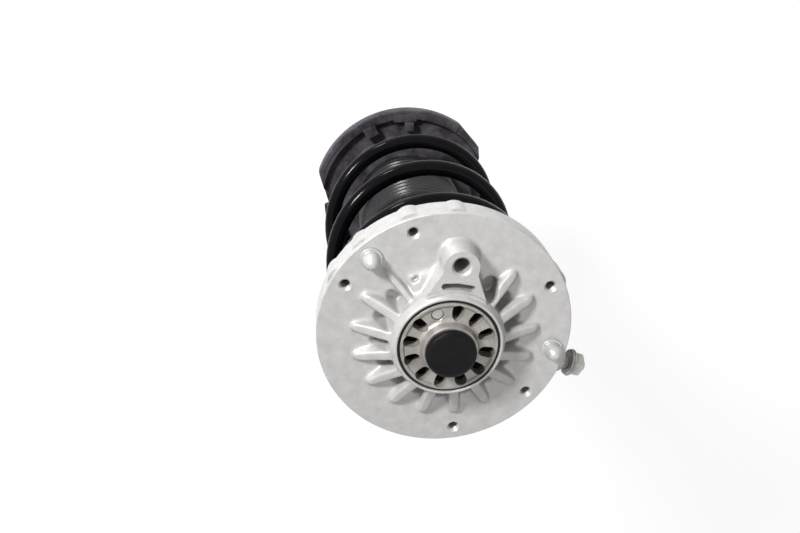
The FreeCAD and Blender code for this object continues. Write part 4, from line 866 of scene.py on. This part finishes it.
def boot_wall(wall):
    """The boot's outline from neck to foot: deep folds above, shallow ones below."""
    neck_foot = SEAT_FOOT - 8.0
    deep_foot = neck_foot - 122.0
    corners = [(BOOT_NECK - wall, SEAT_FOOT), (BOOT_NECK - wall, neck_foot)]
    corners += boot_folds(neck_foot, deep_foot, 20, 43.9, wall)
    corners += boot_folds(deep_foot, BOOT_FOOT + 8.0, 12, 47.8, wall)
    return corners + [(BOOT_CREST - wall, BOOT_FOOT + 6.0), (BOOT_CREST - wall, BOOT_FOOT)]


boot_outline = boot_wall(0.0) + boot_wall(BOOT_WALL)[::-1]
boot = finish_piece("bellows", lathe(boot_outline, soften=0.55, steps=96, segments=2),
                    "spring_carrier", "boot_rubber", ["dust_boot"], BOOT_SHARP)
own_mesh(boot)

# %% Bump stop
stop_outline = [(11.3, -15), (27, -15), (27, -27.8), (22, -34.2), (27, -40.6),
                (27, -50.2), (22, -56.6), (25, -63), (17, -79), (11.3, -79)]
stop = finish_piece("bump_foam", lathe(stop_outline, soften=2.2, steps=72), "mount", "foam",
                    ["bump_stop"])
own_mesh(stop)

# %% [markdown]
# ## Upper seat
# A pressed flange with a deep collar lies under the bearing, and a ribbed rubber moulding sits on
# the collar, between the pressing and the wire.

# %% Upper seat and pad
SEAT_TOP = -22.7
PAD_FACE = -29.9
COLLAR_FOOT = -49.9
PAD_RIB_COUNT = 4
PAD_RIB_STEP = 2.5
pressing = lathe([(41.5, SEAT_TOP), (84, SEAT_TOP), (84, SEAT_FOOT), (62.5, SEAT_FOOT),
                  (62.5, COLLAR_FOOT), (59.3, COLLAR_FOOT), (59.3, SEAT_FOOT), (44.5, SEAT_FOOT),
                  (44.5, -33.9), (41.5, -33.9)], soften=0.8)
finish_piece("seat_pressing", pressing, "spring_carrier", "seat_black", ["upper_spring_seat"])
upper_outline = [(62.65, SEAT_FOOT), (86, SEAT_FOOT), (86, PAD_FACE), (65.85, PAD_FACE)]
for index in range(PAD_RIB_COUNT):
    height = PAD_FACE - PAD_RIB_STEP * (2 * index + 1)
    upper_outline += [(65.7, height), (66.7, height - PAD_RIB_STEP / 2),
                      (65.7, height - PAD_RIB_STEP)]
upper_outline += [(62.65, COLLAR_FOOT)]
finish_piece("spring_isolator", lathe(upper_outline, soften=0.5), "spring_carrier", "pad_rubber",
             ["upper_spring_pad"])

# %% [markdown]
# ## Lower seat
# The moulded pad lies in a pressed dish. It is one turned shape with a groove for the wire, an
# outer band and an inner collar. Blocks, a bare raised panel and seams are joined and cut, as
# they stand in the mould.

# %% Blanks of the pad
DISH_FACE = -273.1
BAND_TOP = -267.1
DISH_TOP = -277.1
DISH_UNDER = -280.1
PAD_COLLAR_TOP = -260.6
DISH_RADIUS = 91.5
DISH_FLATS = ((75.0, 26.0), (75.0, 197.0))
CORNER_FLAT = (88.3, -128.3)


def trimmed(bm, flats, inset=0.0):
    """Cuts flats, each at a distance and an azimuth, and closes the cuts."""
    for distance, angle in flats:
        normal = Vector((*on_circle(1.0, angle), 0))
        bmesh.ops.bisect_plane(bm, geom=bm.verts[:] + bm.edges[:] + bm.faces[:],
                               plane_co=normal * (distance - inset), plane_no=normal,
                               clear_outer=True)
        rim = [e for e in bm.edges if e.is_boundary]
        bmesh.ops.holes_fill(bm, edges=rim, sides=0)
    bmesh.ops.recalc_face_normals(bm, faces=bm.faces)
    return bm


def box(length, width, low, high, reach, angle, soften=0.7):
    """A block at a radius and an azimuth, its length along the radius, its edges rounded."""
    bm = bmesh.new()
    bmesh.ops.create_cube(bm, size=1.0)
    bmesh.ops.scale(bm, vec=(length, width, high - low), verts=bm.verts)
    if soften:
        round_edges(bm, lambda a, b: True, soften, 2)
    moved(bm, across=reach, up=(low + high) / 2)
    return turned(bm, angle)


def arc_block(inner, outer, low, high, start, end):
    """A block bent round the strut's axis between two azimuths."""
    steps = max(6, int(abs(end - start) / 3))
    outlines = []
    for step in range(steps + 1):
        angle = start + (end - start) * step / steps
        outlines.append([(*on_circle(reach, angle), height) for reach, height in
                         ((inner, low), (outer, low), (outer, high), (inner, high))])
    return through_outlines(outlines)


pad_shape = lathe([(40, DISH_TOP), (88.15, DISH_TOP), (88.15, DISH_UNDER),
                   (DISH_RADIUS, DISH_UNDER), (DISH_RADIUS, -268.1), (90.5, BAND_TOP),
                   (83, BAND_TOP), (81.5, DISH_FACE), (66, DISH_FACE), (64, DISH_FACE + 2),
                   (64, -262.6), (62, PAD_COLLAR_TOP), (40, PAD_COLLAR_TOP)],
                  soften=0.5, steps=192)
print("pad blank:", len(pad_shape.faces), "faces")

# %% What the mould adds to the pad
BLOCK_ROOT = -276
SEAM_TOP = -266
blocks = merge_shells(box(8.5, 8.5, BLOCK_ROOT, -264.2, 76.0, -80.0),
                      box(9.5, 12.5, BLOCK_ROOT, -263.4, 79.6, -52.6),
                      box(7.0, 22.0, -268.4, -266.6, 84.0, -77.2, 0.3))
pad_shape = combine(pad_shape, blocks, "UNION")
pad_shape = trimmed(pad_shape, (*DISH_FLATS, CORNER_FLAT))
seams = [box(9.0, 0.7, -267.8, SEAM_TOP, 88.5, angle, 0) for angle in (-47.6, 60.0, 120.0)]
seams += [box(10.0, 0.8, -268.0, SEAM_TOP, 86.5, -113.3, 0),
          box(4.5, 0.7, -267.7, SEAM_TOP, 89.6, -69.2, 0),
          arc_block(86.0, 86.9, -267.8, SEAM_TOP, -9.0, -33.0)]
pad_shape = combine(pad_shape, merge_shells(*seams), "DIFFERENCE")
finish_piece("moulded_pad", pad_shape, "damper", "pad_rubber", ["lower_spring_pad"])

# %% Dish, tube and their small parts
TUBE_TOP = -186.0
TUBE_FOOT = -520.0
CLAMP_TOP = -432.0
TUBE_INNER = 23.0
TUBE_RADIUS = 25.5
CLAMP_RADIUS = 24.7
SEAT_BORE = 25.55
DISH_FLAT_INSET = 2.5
dish = lathe([(SEAT_BORE, DISH_TOP), (88, DISH_TOP), (88, DISH_UNDER), (45, DISH_UNDER),
              (28.55, -303.1), (SEAT_BORE, -303.1)], soften=0.5)
dish = trimmed(dish, DISH_FLATS, inset=DISH_FLAT_INSET)
finish_piece("pressed_dish", dish, "damper", "seat_black", ["lower_spring_seat"])
tube = lathe([(TUBE_INNER, TUBE_TOP), (TUBE_RADIUS, TUBE_TOP), (TUBE_RADIUS, CLAMP_TOP),
              (CLAMP_RADIUS, CLAMP_TOP), (CLAMP_RADIUS, TUBE_FOOT), (TUBE_INNER, TUBE_FOOT)],
             soften=0.3, steps=96)
finish_piece("outer_tube", tube, "damper", "damper_black", ["damper_tube"])
base = lathe([(0, TUBE_FOOT), (24.1, TUBE_FOOT), (24.1, -523.2), (21.5, -525.4), (16, -526),
              (0, -526)], soften=0.5)
finish_piece("tube_end", base, "damper", "damper_black", ["tube_base"])
bump_plate = lathe([(12, -182.5), (27.05, -182.5), (27.05, -198), (SEAT_BORE, -198),
                    (SEAT_BORE, TUBE_TOP), (12, TUBE_TOP)], soften=0.7)
finish_piece("striker_cap", bump_plate, "damper", "damper_black", ["bump_cap"])

# %% [markdown]
# ## Brackets on the tube
# Each bracket is a channel that is bent from sheet, drilled and welded to the tube along its
# cheeks. The weld is a thick wire of uneven places, as a bead is.

# %% Brackets
CHEEK_BORE = 25.56
WELD_REACH = 25.7
WELD_STEPS = 24


def bends(face):
    """A test that picks a channel's upright edges at its face."""
    return lambda a, b: min(a.x, b.x) > face - 1 and abs(a.y - b.y) < 1 and abs(a.z - b.z) > 1


def bracket(reach, half, gauge, middle, height, hole):
    """A channel that points along x, with rounded bends and a hole in its face."""
    low, high = middle - height / 2, middle + height / 2
    outside = box(reach - 18, 2 * half, low, high, (reach + 18) / 2, 0, 0)
    round_edges(outside, bends(reach), gauge + 2, 5)
    inside = box(reach, 2 * (half - gauge), low - 1, high + 1, reach / 2 - gauge, 0, 0)
    round_edges(inside, bends(reach - gauge), 2, 4)
    channel = combine(outside, inside, "DIFFERENCE")
    channel = combine(channel, drum(CHEEK_BORE, low - 2, high + 2, 96), "DIFFERENCE")
    drill = turned(drum(hole, -gauge * 2, gauge * 2), 90, (0, 1, 0))
    return combine(channel, moved(drill, across=reach, up=middle), "DIFFERENCE")


def weld_beads(half, middle, height, thickness=1.5):
    """Two upright beads where the cheeks meet the tube."""
    beads = []
    for side in (-1, 1):
        angle = math.degrees(math.asin((half + 0.6) / 25.9)) * side
        points = []
        for step in range(WELD_STEPS + 1):
            wander = 0.35 * math.sin(step * 2.4)
            x, y = on_circle(WELD_REACH + wander * 0.5, angle + wander)
            points.append((x, y, middle + (height - 6) * (step / WELD_STEPS - 0.5)))
        beads.append(curve_tube("bead", points, thickness, resolution=4))
    return merge_shells(*beads)


for name, node, angle, reach, half, gauge, middle, height, hole in (
        ("link_channel", "link_bracket", 90.0, 58.0, 17.0, 5.0, -395.0, 46.0, 6.1),
        ("hose_channel", "hose_bracket", 0.0, 50.0, 14.0, 3.0, -345.0, 30.0, 5.1)):
    channel = turned(bracket(reach, half, gauge, middle, height, hole), angle)
    piece = finish_piece(name, channel, "damper", "damper_black", [node])
    soft = piece.modifiers.new("edges", "BEVEL")
    soft.width = 0.5 * MM
    soft.segments = 2
    soft.limit_method = "ANGLE"
    beads = turned(weld_beads(half, middle, height), angle)
    finish_piece(name + "_welds", beads, "damper", "damper_black")

# %% Tab that places the clamp
tab = combine(box(9.5, 8.0, CLAMP_TOP, CLAMP_TOP + 16, 26.2, -90.0, 1.0),
              drum(CHEEK_BORE, CLAMP_TOP - 2, CLAMP_TOP + 20, 96), "DIFFERENCE")
finish_piece("clamp_stop", tab, "damper", "damper_black", ["clamp_tab"])

# %% Finishes of the pieces that stay as they are
for name, node in frame["nodes"].items():
    if node.hide_render:
        continue
    slot = next(p["material_slot"] for p in frame["record"]["subparts"] if p["node"] == name)
    node.data.materials.clear()
    node.data.materials.append(FINISHES[slot])
    print("kept:", name, slot)

# %% [markdown]
# ## Floor and light
# A pale floor under the strut carries its shadow. The camera sees floor and surroundings as white,
# and so do the metal's reflections, while lamps and world stay at a plain level.

# %% Floor
FLOOR_REACH = 6.0
FLOOR_HEIGHT = -0.5265
FLOOR_GLOW = 1.12
FLOOR_GLOW_SHARE = 0.8


def white_to_camera(tree, lit, white, out, share=1.0):
    """Shows white to the camera and to reflections, by a share, and the lit surface to the rest."""
    path = tree.nodes.new("ShaderNodeLightPath")
    seen = path.outputs["Is Camera Ray"]
    for other in ("Is Glossy Ray", "Is Transmission Ray"):
        either = tree.nodes.new("ShaderNodeMath")
        either.operation = "MAXIMUM"
        tree.links.new(seen, either.inputs[0])
        tree.links.new(path.outputs[other], either.inputs[1])
        seen = either.outputs["Value"]
    part = tree.nodes.new("ShaderNodeMath")
    part.operation = "MULTIPLY"
    part.inputs[1].default_value = share
    tree.links.new(seen, part.inputs[0])
    mix = tree.nodes.new("ShaderNodeMixShader")
    tree.links.new(part.outputs["Value"], mix.inputs["Fac"])
    tree.links.new(lit, mix.inputs[1])
    tree.links.new(white, mix.inputs[2])
    tree.links.new(mix.outputs["Shader"], out)


floor_bm = bmesh.new()
bmesh.ops.create_grid(floor_bm, x_segments=1, y_segments=1, size=FLOOR_REACH)
bmesh.ops.translate(floor_bm, vec=(0, 0, FLOOR_HEIGHT), verts=floor_bm.verts)
floor_mesh = bpy.data.meshes.new("floor")
floor_bm.to_mesh(floor_mesh)
floor_bm.free()
floor = bpy.data.objects.new("floor", floor_mesh)
scene.collection.objects.link(floor)
floor_material = bpy.data.materials.new("floor")
floor_material.use_nodes = True
floor_tree = floor_material.node_tree
paper = floor_tree.nodes["Principled BSDF"]
paper.inputs["Base Color"].default_value = (0.92, 0.93, 0.93, 1)
paper.inputs["Roughness"].default_value = 0.9
glow = floor_tree.nodes.new("ShaderNodeEmission")
glow.inputs["Strength"].default_value = FLOOR_GLOW
white_to_camera(floor_tree, paper.outputs["BSDF"], glow.outputs["Emission"],
                floor_tree.nodes["Material Output"].inputs["Surface"], share=FLOOR_GLOW_SHARE)
floor_mesh.materials.append(floor_material)
print("floor at", FLOOR_HEIGHT, "m")

# %% World and lamps
AMBIENT_LEVEL = 0.22
LAMP_AIM = Vector((0, 0, -0.1))
world = bpy.data.worlds.new("studio")
scene.world = world
world.use_nodes = True
tree = world.node_tree
ambient = tree.nodes["Background"]
ambient.inputs["Color"].default_value = (1, 1, 1, 1)
ambient.inputs["Strength"].default_value = AMBIENT_LEVEL
backdrop = tree.nodes.new("ShaderNodeBackground")
backdrop.inputs["Color"].default_value = (1, 1, 1, 1)
backdrop.inputs["Strength"].default_value = 1.0
white_to_camera(tree, ambient.outputs["Background"], backdrop.outputs["Background"],
                tree.nodes["World Output"].inputs["Surface"])


def softbox(name, place, width, watts):
    """A square lamp that faces the top mount."""
    light = bpy.data.lights.new(name, "AREA")
    light.size = width
    light.energy = watts
    lamp = bpy.data.objects.new(name, light)
    lamp.location = place
    aim = LAMP_AIM - Vector(place)
    lamp.rotation_euler = aim.to_track_quat("-Z", "Y").to_euler()
    scene.collection.objects.link(lamp)


softbox("key", (1.1, -0.8, 0.75), 0.25, 33.0)
softbox("fill", (-0.6, 0.2, 1.1), 0.9, 2.0)
softbox("rim", (0.6, -1.1, -0.35), 0.2, 4.0)
